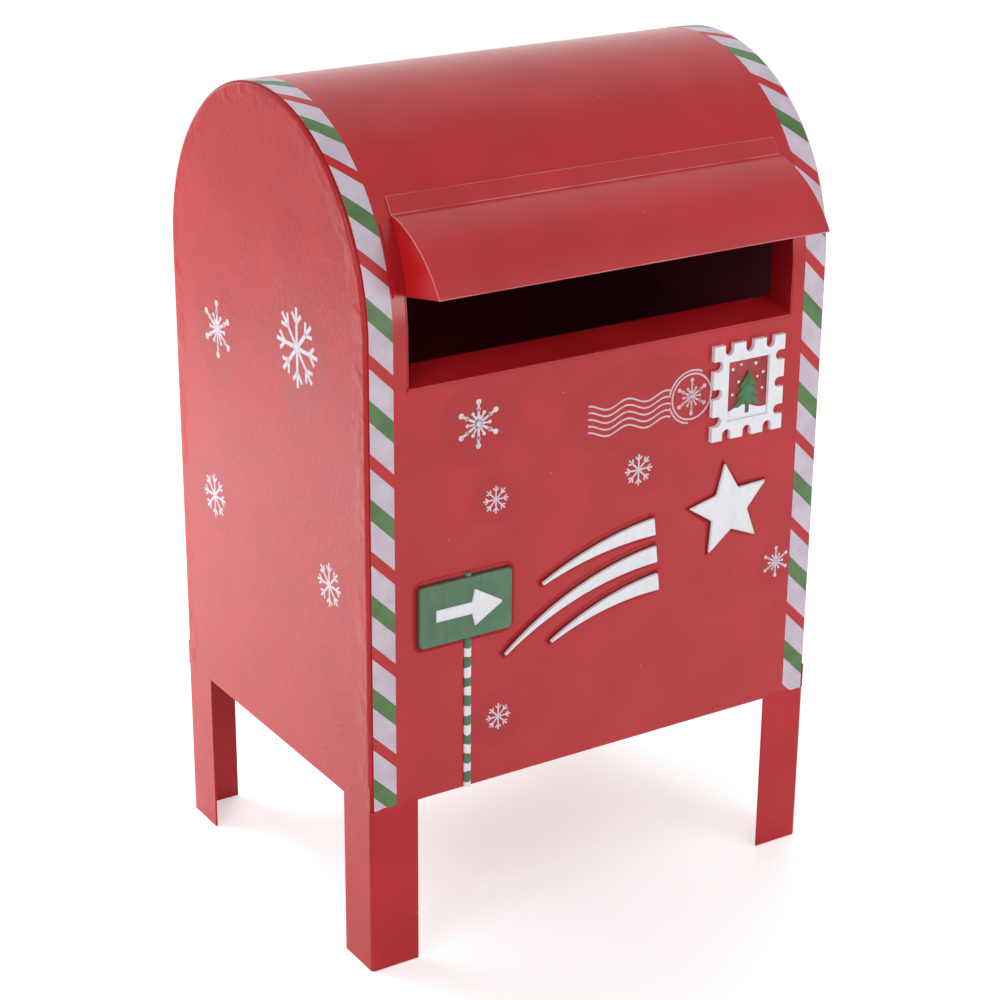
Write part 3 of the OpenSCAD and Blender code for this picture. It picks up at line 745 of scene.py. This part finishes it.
def printed_ring(name, radius, gaps=()):
    """Flat ring on the X-Z plane, with the given spans of degrees left out."""
    ring = start_flat(name)
    bpy.ops.mesh.primitive_circle_add(
        vertices=96, radius=radius, fill_type="NOTHING", rotation=(math.pi / 2, 0, 0)
    )
    bpy.ops.mesh.extrude_edges_move()
    share = (radius - LINE_WIDTH) / radius
    bpy.ops.transform.resize(value=(share, 1, share), center_override=(0, 0, 0))
    bpy.ops.object.mode_set(mode="OBJECT")
    left_out = []
    for face in ring.data.polygons:
        angle = math.degrees(math.atan2(face.center.z, face.center.x)) % 360
        if any(low <= angle <= high for low, high in gaps):
            left_out.append(face)
    if left_out:
        select_only(ring, left_out, "FACE")
        bpy.ops.mesh.delete(type="FACE")
        bpy.ops.object.mode_set(mode="OBJECT")
    return ring


def printed_wave(name):
    """Flat wavy line on the X-Z plane, two humps long."""
    middle = ((WAVE_FROM + WAVE_TO) / 2, 0, 0)
    wave = flat_patch(name, middle, WAVE_TO - WAVE_FROM, LINE_WIDTH, (64, 1))
    for vertex in wave.data.vertices:
        vertex.co.z += WAVE_SWING * math.cos(2 * math.pi * (vertex.co.x - WAVE_FROM) / WAVE_LENGTH)
    return wave


def facing_front(flat):
    """Turn each face of a flat shape to the front where it looks back."""
    for face in flat.data.polygons:
        if face.normal.y > 0:
            face.flip()
    flat.data.update()
    return flat


postmark_ink = ink_of("postmark_ink", POSTMARK_PINK, POSTMARK_FADED)
postmark_spot = (POSTMARK_MIDDLE[0], print_front, POSTMARK_MIDDLE[1])
for name, pattern, radius in (
    ("postmark_ring_inner", facing_front(printed_ring("inner_ring", POSTMARK_R)), 1),
    ("postmark_ring_outer", facing_front(printed_ring("outer_ring", OUTER_R, OUTER_GAPS)), 1),
    ("postmark_flake", beaded, POSTMARK_FLAKE_R),
):
    print_on(pattern, name, placed(postmark_spot, 0, radius), postmark_ink)
    bpy.data.objects.remove(pattern)
wavy_line = facing_front(printed_wave("wavy_line"))
for number, height in enumerate(WAVE_HEIGHTS):
    print_on(wavy_line, "postmark_wave_%d" % (number + 1), placed((0, print_front, height)), postmark_ink)
bpy.data.objects.remove(wavy_line)


# The sign is pressed out of the front sheet and painted green by hand, with a raised
# white arrow that points into the picture. Its pole is a half-round rib below it, green
# with white dashes dabbed on with a brush.

SIGN_GREEN = (0.075, 0.175, 0.098, 1)
SIGN_PALE = (0.095, 0.205, 0.122, 1)
SIGN_DARK = (0.062, 0.150, 0.082, 1)
SIGN_FACE = -0.07705
RELIEF_EDGE = 0.0008
RELIEF_STEPS = 4
BRUSH_WHITE = (0.86, 0.87, 0.93, 1)
BRUSH_BRIGHT = (0.89, 0.90, 0.95, 1)
BRUSH_THIN = (0.83, 0.82, 0.88, 1)
BRUSH_LUMPS = 0.0002
BRUSH_RIDGES = 0.00006
ARROW_TAIL = (-0.0735, 0.1400)
ARROW_SHAFT = (0.0150, 0.0046)
ARROW_HEAD = (0.0115, 0.0145)
ARROW_BARB = 0.0012
ARROW_POINT = 0.05
ARROW_SINK = 0.0002
ARROW_RISE = 0.0009
ARROW_EDGE = 0.0004
ARROW_SHARP = math.radians(50)
POLE_FOOT = 0.0672
POLE_EDGE = 0.0003
DASH_TOP = 0.1262
DASH_PERIOD = 0.0078
DASH_SHARE = 0.49
DASH_WANDER = 0.0032
DASH_DEPTH = 0.00012
# Darker red up the shoulders round the motifs: painted shade.
SHOULDER_SHADE_RED = (0.20, 0.004, 0.007, 1)
SHOULDER_SHADE_CLIMB = 0.00028
SHOULDER_REACH = 0.0022
SHOULDER_RISE = 0.0008
SHOULDER_SHINE = 0.15
SHOULDER_WALL = 0.0002
SHOULDER_GAP = 0.00003
SHOULDER_SINK = 0.00002


def brushed_paint(name, plain, pale, dark):
    """Paint laid on by brush, with soft streaks and small ridges."""
    finish, tree, shader, place = finish_of(name)
    cloud = speckle(tree, place, 150.0, 4.0)
    streaks = speckle(tree, place, 420.0, 3.0, (1.0, 1.0, 0.25))
    colour = tinted(tree, ramped(tree, cloud, 0.45, 0.72), plain, pale)
    colour = tinted(tree, ramped(tree, streaks, 0.50, 0.28), colour, dark)
    tree.links.new(colour, shader.inputs["Base Color"])
    tree.links.new(ramped(tree, streaks, 0.3, 0.7, 0.30, 0.44), shader.inputs["Roughness"])
    ridges = raised_by(tree, streaks, BRUSH_RIDGES, raised_by(tree, cloud, BRUSH_LUMPS))
    tree.links.new(ridges, shader.inputs["Normal"])
    return finish


def dashed_paint(name):
    """Green paint with uneven white dashes up to the sign."""
    finish, tree, shader, place = finish_of(name)
    height = shader_node(tree, "ShaderNodeSeparateXYZ", {}, {0: place}).outputs["Z"]
    unsteady = reckon(tree, "MULTIPLY", speckle(tree, place, 260.0, 3.0), DASH_WANDER)
    climb = reckon(tree, "SUBTRACT", reckon(tree, "ADD", height, unsteady), POLE_FOOT)
    turn = reckon(tree, "FRACT", reckon(tree, "DIVIDE", climb, DASH_PERIOD))
    below_sign = reckon(tree, "LESS_THAN", height, DASH_TOP)
    dash = reckon(tree, "MULTIPLY", reckon(tree, "LESS_THAN", turn, DASH_SHARE), below_sign)
    dabs = speckle(tree, place, 500.0, 3.0)
    green = tinted(tree, ramped(tree, dabs, 0.40, 0.70), SIGN_GREEN, SIGN_DARK)
    white = tinted(tree, ramped(tree, dabs, 0.52, 0.72), BRUSH_WHITE, BRUSH_THIN)
    tree.links.new(tinted(tree, dash, green, white), shader.inputs["Base Color"])
    tree.links.new(ramped(tree, dabs, 0.3, 0.7, 0.30, 0.45), shader.inputs["Roughness"])
    tree.links.new(raised_by(tree, reckon(tree, "ADD", dash, dabs), DASH_DEPTH), shader.inputs["Normal"])
    return finish


def shaded_towards_motif(finish):
    """Darken an enamel towards the top of a pressed shoulder: painted shade at the foot of the motif."""
    tree, shader, place = opened(finish)
    depth = shader_node(tree, "ShaderNodeSeparateXYZ", {}, {0: place}).outputs["Y"]
    climb = ramped(tree, depth, FRONT_Y, FRONT_Y - SHOULDER_SHADE_CLIMB)
    under = shader.inputs["Base Color"].links[0].from_socket
    tree.links.new(tinted(tree, climb, under, SHOULDER_SHADE_RED), shader.inputs["Base Color"])
    return finish


def pressed_shoulder(node):
    """Hollow slope of the front sheet up to the side of a motif that is pressed out of it."""
    slope = welded(node, (shoulder_shade_enamel,), node + "_shoulder")
    select_only(slope, [face for face in slope.data.polygons if abs(face.normal.y) > 0.5], "FACE")
    bpy.ops.mesh.delete(type="FACE")
    low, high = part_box(node)
    for share in (0.25, 0.5, 0.75):
        bpy.ops.mesh.select_all(action="SELECT")
        bpy.ops.mesh.bisect(plane_co=(0, high[1] + (low[1] - high[1]) * share, 0), plane_no=(0, 1, 0))
    bpy.ops.object.mode_set(mode="OBJECT")
    outward_ways = [Vector((v.normal.x, 0, v.normal.z)).normalized() for v in slope.data.vertices]
    for vertex, way in zip(slope.data.vertices, outward_ways):
        share = (high[1] - vertex.co.y) / (high[1] - low[1])
        vertex.co += way * (SHOULDER_REACH * (1 - share) ** 2 + SHOULDER_GAP)
        vertex.co.y = FRONT_Y + SHOULDER_SINK - SHOULDER_RISE * share ** 1.5
    thickened(slope, SHOULDER_WALL, -1)
    bpy.ops.object.shade_smooth_by_angle(angle=math.radians(60))
    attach(slope, "box")


def built_up(flat, rise, edge, paint, sharp=math.radians(35)):
    """Raise a flat shape into a rounded dab of paint."""
    bpy.ops.object.mode_set(mode="EDIT")
    bpy.ops.mesh.select_all(action="SELECT")
    bpy.ops.mesh.extrude_region_move(TRANSFORM_OT_translate={"value": (0, -rise, 0)})
    bpy.ops.mesh.select_all(action="SELECT")
    bpy.ops.mesh.remove_doubles(threshold=WELD_REACH)
    bpy.ops.mesh.normals_make_consistent(inside=False)
    bpy.ops.object.mode_set(mode="OBJECT")
    bevelled(flat, edge, 3, sharp)
    bpy.ops.object.shade_smooth_by_angle(angle=math.radians(50))
    flat.data.materials.append(paint)
    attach(flat, "box")


# The shoulder enamel darkens next to the motif: painted shade.
shoulder_coat = enamelled(
    "red_enamel_shoulder_painted_shade", ENAMEL_DEEP, ENAMEL_BLOOM, patches=VARNISH_PATCHES, shine=SHOULDER_SHINE
)
shoulder_shade_enamel = shaded_towards_motif(shoulder_coat)
sign_paint = brushed_paint("sign_green_paint", SIGN_GREEN, SIGN_PALE, SIGN_DARK)
white_paint = brushed_paint("relief_white_paint", BRUSH_WHITE, BRUSH_BRIGHT, BRUSH_THIN)

sign = softened("sign_plate", RELIEF_EDGE, (sign_paint,), steps=RELIEF_STEPS)
pressed_shoulder("sign_plate")

shaft_middle = (ARROW_TAIL[0] + ARROW_SHAFT[0] / 2, SIGN_FACE + ARROW_SINK, ARROW_TAIL[1])
arrow = flat_patch("sign_arrow", shaft_middle, *ARROW_SHAFT)
neck = (ARROW_TAIL[0] + ARROW_SHAFT[0], shaft_middle[1], ARROW_TAIL[1])
select_only(arrow, edges_where(arrow, lambda spot: spot.x > shaft_middle[0]), "EDGE")
bpy.ops.mesh.extrude_region_move(TRANSFORM_OT_translate={"value": (ARROW_BARB, 0, 0)})
bpy.ops.transform.resize(value=(1, 1, ARROW_HEAD[1] / ARROW_SHAFT[1]), center_override=neck)
bpy.ops.mesh.extrude_region_move(TRANSFORM_OT_translate={"value": (ARROW_HEAD[0], 0, 0)})
bpy.ops.transform.resize(value=(1, 1, ARROW_POINT), center_override=neck)
built_up(arrow, ARROW_RISE, ARROW_EDGE, white_paint, ARROW_SHARP)

pole_paint = dashed_paint("sign_pole_paint")
pole = softened("sign_pole", POLE_EDGE, (pole_paint,), steps=3)


# The stamp is pressed out of the front like the sign, with notches round its edge and a
# sunk window, and painted white. The window holds a small painted fir tree in snow, built
# up in thick paint on a red ground.

STAMP_EDGE = 0.0007
WINDOW_LOW = (0.0538, 0.18965)
WINDOW_HIGH = (0.0728, 0.21315)
WINDOW_FLOOR = -0.07605
WINDOW_PLAY = 0.0006
GROUND_RED = (0.36, 0.016, 0.022, 1)
GROUND_DARK = (0.24, 0.006, 0.012, 1)
GROUND_SINK = 0.0001
GROUND_RISE = 0.0002
GROUND_EDGE = 0.00005
SNOW_LOW = WINDOW_LOW[1] + 0.0004
SNOW_TALL = 0.004
SNOW_DRIFT = 0.0012
SNOW_SHIFT = 0.002
SNOW_RISE = 0.0004
SNOW_EDGE = 0.00012
TRUNK_BROWN = (0.120, 0.050, 0.022, 1)
TRUNK_PALE = (0.2, 0.09, 0.04, 1)
TRUNK_DARK = (0.06, 0.025, 0.012, 1)
TRUNK_SIZE = (0.0018, 0.0042)
TRUNK_MIDDLE = 0.1937
TRUNK_RISE = 0.00055
FIR_GREEN = (0.030, 0.150, 0.050, 1)
FIR_PALE = (0.060, 0.220, 0.085, 1)
FIR_DARK = (0.012, 0.075, 0.026, 1)
FIR_TIERS = ((0.1946, 0.0064, 0.0064), (0.1985, 0.0053, 0.0060), (0.2022, 0.0041, 0.0058))
FIR_RISE = 0.0005
FIR_STEP = 0.00008
FIR_EDGE = 0.00018
FIR_TIP = 0.06
FIR_DROOP = 0.0009
SNOW_DOTS = (
    (0.0561, 0.2098, 0.00065), (0.0590, 0.2045, 0.00055), (0.0668, 0.2106, 0.0007), (0.0705, 0.2065, 0.0006),
    (0.0563, 0.1998, 0.0006), (0.0702, 0.2003, 0.00055), (0.0600, 0.2112, 0.0005), (0.0678, 0.2052, 0.0005),
)
DAB_EDGE = 0.0002

stamp = softened("stamp", STAMP_EDGE, (white_paint,), steps=RELIEF_STEPS)

window_x = (WINDOW_LOW[0] + WINDOW_HIGH[0]) / 2
window_z = (WINDOW_LOW[1] + WINDOW_HIGH[1]) / 2
window_wide = WINDOW_HIGH[0] - WINDOW_LOW[0] - WINDOW_PLAY
window_tall = WINDOW_HIGH[1] - WINDOW_LOW[1] - WINDOW_PLAY
ground_middle = (window_x, WINDOW_FLOOR + GROUND_SINK, window_z)
ground = flat_patch("stamp_ground", ground_middle, window_wide, window_tall)
ground_paint = brushed_paint("stamp_red_paint", GROUND_RED, ENAMEL_RED, GROUND_DARK)
built_up(ground, GROUND_RISE, GROUND_EDGE, ground_paint)

snow_middle = (window_x, WINDOW_FLOOR, SNOW_LOW + SNOW_TALL / 2)
snow = flat_patch("stamp_snow", snow_middle, window_wide, SNOW_TALL, (24, 1))
for vertex in snow.data.vertices:
    if vertex.co.z > snow_middle[2]:
        vertex.co.z += SNOW_DRIFT * math.cos((vertex.co.x - window_x + SNOW_SHIFT) * 330)
built_up(snow, SNOW_RISE, SNOW_EDGE, white_paint)

trunk = flat_patch("stamp_trunk", (window_x, WINDOW_FLOOR, TRUNK_MIDDLE), *TRUNK_SIZE)
trunk_paint = brushed_paint("stamp_brown_paint", TRUNK_BROWN, TRUNK_PALE, TRUNK_DARK)
built_up(trunk, TRUNK_RISE, DAB_EDGE, trunk_paint)

fir_paint = brushed_paint("stamp_green_paint", FIR_GREEN, FIR_PALE, FIR_DARK)
for number, (low_z, half, tall) in enumerate(FIR_TIERS):
    tier_middle = (window_x, WINDOW_FLOOR - FIR_STEP * number, low_z + tall / 2)
    tier = flat_patch("stamp_fir_%d" % (number + 1), tier_middle, 2 * half, tall, (6, 4))
    for vertex in tier.data.vertices:
        up = (vertex.co.z - low_z) / tall
        aside = (vertex.co.x - window_x) / half
        vertex.co.x = window_x + half * aside * max(1 - up, FIR_TIP)
        vertex.co.z += FIR_DROOP * (1 - up) * (abs(math.sin(aside * 4.7)) - aside * aside)
    built_up(tier, FIR_RISE + FIR_STEP * number, FIR_EDGE, fir_paint)

for number, (dot_x, dot_z, radius) in enumerate(SNOW_DOTS):
    dot = start_flat("stamp_dot_%d" % (number + 1))
    disc((dot_x, WINDOW_FLOOR, dot_z), radius, 16)
    built_up(dot, SNOW_RISE, DAB_EDGE, white_paint)


# The star and its three streaks are raised on the front in the same pressed tin, painted
# over in thick white that rounds every edge.

for node in ("star", "star_tail"):
    relief = softened(node, RELIEF_EDGE, (white_paint,), steps=RELIEF_STEPS)
    pressed_shoulder(node)


# The rear door is a flat sheet hemmed all round, sprayed like the box and thinly on its
# inside. A turned, zinc plated knob is held from inside by a screw.

DOOR_THIN = (0.31, 0.022, 0.031, 1)
DOOR_THIN_BLOOM = (0.36, 0.027, 0.038, 1)
DOOR_GRAIN = 0.00002
KNOB_EDGE = 0.0004
SCREW_EDGE = 0.0002
ZINC = (0.62, 0.63, 0.65, 1)
ZINC_DULL = (0.44, 0.45, 0.48, 1)
DRAWN_DEPTH = 0.00002

door_enamel = enamelled("red_enamel_door", ENAMEL_DEEP, ENAMEL_BLOOM, DOOR_GRAIN)
door_inside = enamelled("thin_door_enamel", DOOR_THIN, DOOR_THIN_BLOOM)
rear_door = softened("rear_door", CUT_EDGE, (door_enamel, door_inside), body="door")
for face in rear_door.data.polygons:
    if face.normal.y < -0.5:
        face.material_index = 1


def plated(name, stretch):
    """Bright zinc plate with drawn lines and a cloudy passivated bloom."""
    finish, tree, shader, place = finish_of(name)
    cloud = speckle(tree, place, 190.0, 4.0)
    drawn = speckle(tree, place, 900.0, 3.0, stretch)
    colour = tinted(tree, ramped(tree, cloud, 0.42, 0.70), ZINC, ZINC_DULL)
    gloss = ramped(tree, reckon(tree, "ADD", cloud, drawn), 0.7, 1.3, 0.29, 0.46)
    tree.links.new(colour, shader.inputs["Base Color"])
    tree.links.new(gloss, shader.inputs["Roughness"])
    tree.links.new(raised_by(tree, drawn, DRAWN_DEPTH), shader.inputs["Normal"])
    shader.inputs["Metallic"].default_value = 1.0
    return finish


knob_plate = plated("zinc_plate_turned", (0.4, 3.0, 0.4))
knob = softened("door_knob", KNOB_EDGE, (knob_plate,), body="door", steps=3)
screw = softened("knob_screw", SCREW_EDGE, (knob_plate,), body="door")


# Two butt hinges carry the door on its left, seen from the front: folded zinc plated
# leaves with rolled knuckles on a plain pin, riveted to the back and to the door.

LEAF_EDGE = 0.00012
PIN_EDGE = 0.0002
RIVET_EDGE = 0.00015

leaf_plate = plated("zinc_plate_drawn", (1.0, 1.0, 0.08))
for node, body, edge in (
    ("hinge_upper_fixed_leaf", "box", LEAF_EDGE),
    ("hinge_lower_fixed_leaf", "box", LEAF_EDGE),
    ("hinge_upper_door_leaf", "door", LEAF_EDGE),
    ("hinge_lower_door_leaf", "door", LEAF_EDGE),
    ("hinge_upper_pin", "box", PIN_EDGE),
    ("hinge_lower_pin", "box", PIN_EDGE),
    ("fixed_leaf_rivets", "box", RIVET_EDGE),
    ("door_leaf_rivets", "door", RIVET_EDGE),
):
    hardware = softened(node, edge, (leaf_plate,), body=body)


# A small ferrite magnet on a stepped bracket holds the door shut. The bracket is riveted
# inside the back, and the magnet shows only when the door is open.

FERRITE_DARK = (0.022, 0.022, 0.024, 1)
FERRITE_PALE = (0.07, 0.07, 0.072, 1)
FERRITE_GRIT = 0.00005
MAGNET_EDGE = 0.0003

for node in ("magnet_bracket", "magnet_rivets"):
    hardware = softened(node, LEAF_EDGE, (leaf_plate,))

ferrite, tree, shader, place = finish_of("sintered_ferrite")
grit = speckle(tree, place, 1400.0, 4.0)
grit_colour = tinted(tree, ramped(tree, grit, 0.4, 0.7), FERRITE_DARK, FERRITE_PALE)
tree.links.new(grit_colour, shader.inputs["Base Color"])
tree.links.new(ramped(tree, grit, 0.3, 0.7, 0.55, 0.8), shader.inputs["Roughness"])
tree.links.new(raised_by(tree, grit, FERRITE_GRIT), shader.inputs["Normal"])
magnet = softened("magnet", MAGNET_EDGE, (ferrite,))


# The stage is a plain white floor that fades into a white background, lit like a white
# tent: large soft lamps all round and above, and two small ones close over the floor,
# whose light comes back from the paper into the left end and the front.

FLOOR_REACH = 15.0
FLOOR_Z = -0.0002
FADE_FROM = 0.55
FADE_TO = 1.30
PAPER_WHITE = (0.80, 0.80, 0.80, 1)
PAPER_GLOW = 0.48
LIGHT_WHITE = (1, 1, 1, 1)
ROOM_DIM = (0.41, 0.23)
ROOM_BRIGHT = (1.0, 0.75)

bpy.ops.object.select_all(action="DESELECT")
bpy.ops.mesh.primitive_plane_add(size=2 * FLOOR_REACH, location=(0, 0, FLOOR_Z))
stage_floor = bpy.context.object
stage_floor.name = "stage_floor"
bpy.ops.object.transform_apply(location=True, rotation=True, scale=True)


def seen_directly(tree):
    """One for what the eye sees, straight, mirrored or through glass, and none for stray light."""
    path = tree.nodes.new("ShaderNodeLightPath")
    mirrored = reckon(tree, "MAXIMUM", path.outputs["Is Glossy Ray"], path.outputs["Is Transmission Ray"])
    return reckon(tree, "MAXIMUM", path.outputs["Is Camera Ray"], mirrored)


floor_paper = bpy.data.materials.new("white_paper_floor")
floor_paper.use_nodes = True
paper = floor_paper.node_tree
paper.nodes.clear()
matt = shader_node(paper, "ShaderNodeBsdfDiffuse", {}, {"Color": PAPER_WHITE})
seen = seen_directly(paper)
glow = shader_node(paper, "ShaderNodeEmission", {}, {"Strength": reckon(paper, "MULTIPLY", seen, PAPER_GLOW)})
near = shader_node(paper, "ShaderNodeAddShader", {}, {0: matt.outputs[0], 1: glow.outputs[0]})
far = shader_node(paper, "ShaderNodeEmission", {}, {"Strength": 1.0})
paper_place = paper.nodes.new("ShaderNodeTexCoord").outputs["Object"]
away = shader_node(paper, "ShaderNodeVectorMath", {"operation": "LENGTH"}, {0: paper_place}).outputs["Value"]
faded = reckon(paper, "MULTIPLY", ramped(paper, away, FADE_FROM, FADE_TO), seen)
sweep = shader_node(paper, "ShaderNodeMixShader", {}, {0: faded, 1: near.outputs[0], 2: far.outputs[0]})
paper_out = paper.nodes.new("ShaderNodeOutputMaterial")
paper.links.new(sweep.outputs[0], paper_out.inputs["Surface"])
stage_floor.data.materials.append(floor_paper)

room = bpy.data.worlds.new("white_room")
bpy.context.scene.world = room
room.use_nodes = True
air = room.node_tree
air.nodes.clear()
air_place = air.nodes.new("ShaderNodeTexCoord").outputs["Generated"]
aloft = shader_node(air, "ShaderNodeSeparateXYZ", {}, {0: air_place}).outputs["Z"]
dim_aloft = ramped(air, aloft, 0.35, 0.85, *ROOM_DIM)
bright_aloft = ramped(air, aloft, 0.25, 0.90, *ROOM_BRIGHT)
dim = shader_node(air, "ShaderNodeBackground", {}, {"Strength": dim_aloft})
bright = shader_node(air, "ShaderNodeBackground", {}, {"Strength": bright_aloft})
for light in (glow, far, dim, bright):
    light.inputs["Color"].default_value = LIGHT_WHITE
rooms = {0: seen_directly(air), 1: dim.outputs[0], 2: bright.outputs[0]}
choice = shader_node(air, "ShaderNodeMixShader", {}, rooms)
room_out = air.nodes.new("ShaderNodeOutputWorld")
air.links.new(choice.outputs[0], room_out.inputs["Surface"])


def soft_lamp(name, spot, aim, size, power, mirrored=True):
    """Square soft box at a spot, turned to a point, and left out of reflections if need be."""
    lamp_data = bpy.data.lights.new(name, "AREA")
    lamp_data.size = size
    lamp_data.energy = power
    lamp = bpy.data.objects.new(name, lamp_data)
    bpy.context.scene.collection.objects.link(lamp)
    lamp.location = spot
    lamp.rotation_euler = (Vector(aim) - Vector(spot)).to_track_quat("-Z", "Y").to_euler()
    lamp.visible_camera = False
    lamp.visible_glossy = mirrored


soft_lamp("lamp_left", (-1.5, -0.7, 1.0), (0, 0, 0.18), 1.1, 9.3)
soft_lamp("lamp_top", (0.6, 0.8, 1.6), (0, 0, 0.2), 1.1, 9.2, mirrored=False)
soft_lamp("lamp_front", (0.8, -1.8, 0.32), (0, 0, 0.08), 0.6, 5.8)
soft_lamp("lamp_right", (1.3, 1.0, 0.9), (0, 0, 0.16), 1.1, 6.0, mirrored=False)
soft_lamp("lamp_floor_left", (-0.36, 0.40, 0.40), (-0.36, 0.40, 0), 0.45, 3.5, mirrored=False)
soft_lamp("lamp_floor_front", (0.22, -0.52, 0.50), (0.22, -0.52, 0), 0.5, 1.15, mirrored=False)


# The camera stands where the photograph was taken from: a little above, to the left of
# the front, with a long lens.

CAMERA_AZ = -32.49
CAMERA_EL = 20.93
CAMERA_AWAY = 0.9873
CAMERA_AIM = Vector((0, 0, 0.160))
CAMERA_YAW = -0.13
CAMERA_PITCH = 0.91
CAMERA_ROLL = 0.51
FOCAL_PIXELS = 2518.6
PICTURE_PIXELS = 1000
SENSOR_WIDTH = 36.0


def outward(azimuth, elevation):
    """Unit vector from the box to a place round it, from the front and the ground up."""
    azimuth, elevation = math.radians(azimuth), math.radians(elevation)
    level = math.cos(elevation)
    return Vector((math.sin(azimuth) * level, -math.cos(azimuth) * level, math.sin(elevation)))


camera_data = bpy.data.cameras.new("camera")
camera = bpy.data.objects.new("camera", camera_data)
bpy.context.scene.collection.objects.link(camera)
bpy.context.scene.camera = camera
camera_data.sensor_width = SENSOR_WIDTH
camera_data.lens = FOCAL_PIXELS / PICTURE_PIXELS * SENSOR_WIDTH
camera_data.clip_start = 0.01
back = outward(CAMERA_AZ + CAMERA_YAW, CAMERA_EL + CAMERA_PITCH)
right = Vector((0, 0, 1)).cross(back).normalized()
up = back.cross(right)
roll = math.radians(CAMERA_ROLL)
rolled_right = right * math.cos(roll) + up * math.sin(roll)
rolled_up = up * math.cos(roll) - right * math.sin(roll)
turned = Matrix((rolled_right, rolled_up, back)).transposed().to_4x4()
camera_spot = CAMERA_AIM + outward(CAMERA_AZ, CAMERA_EL) * CAMERA_AWAY
camera.matrix_world = Matrix.Translation(camera_spot) @ turned
bpy.context.scene.view_settings.view_transform = "Standard"
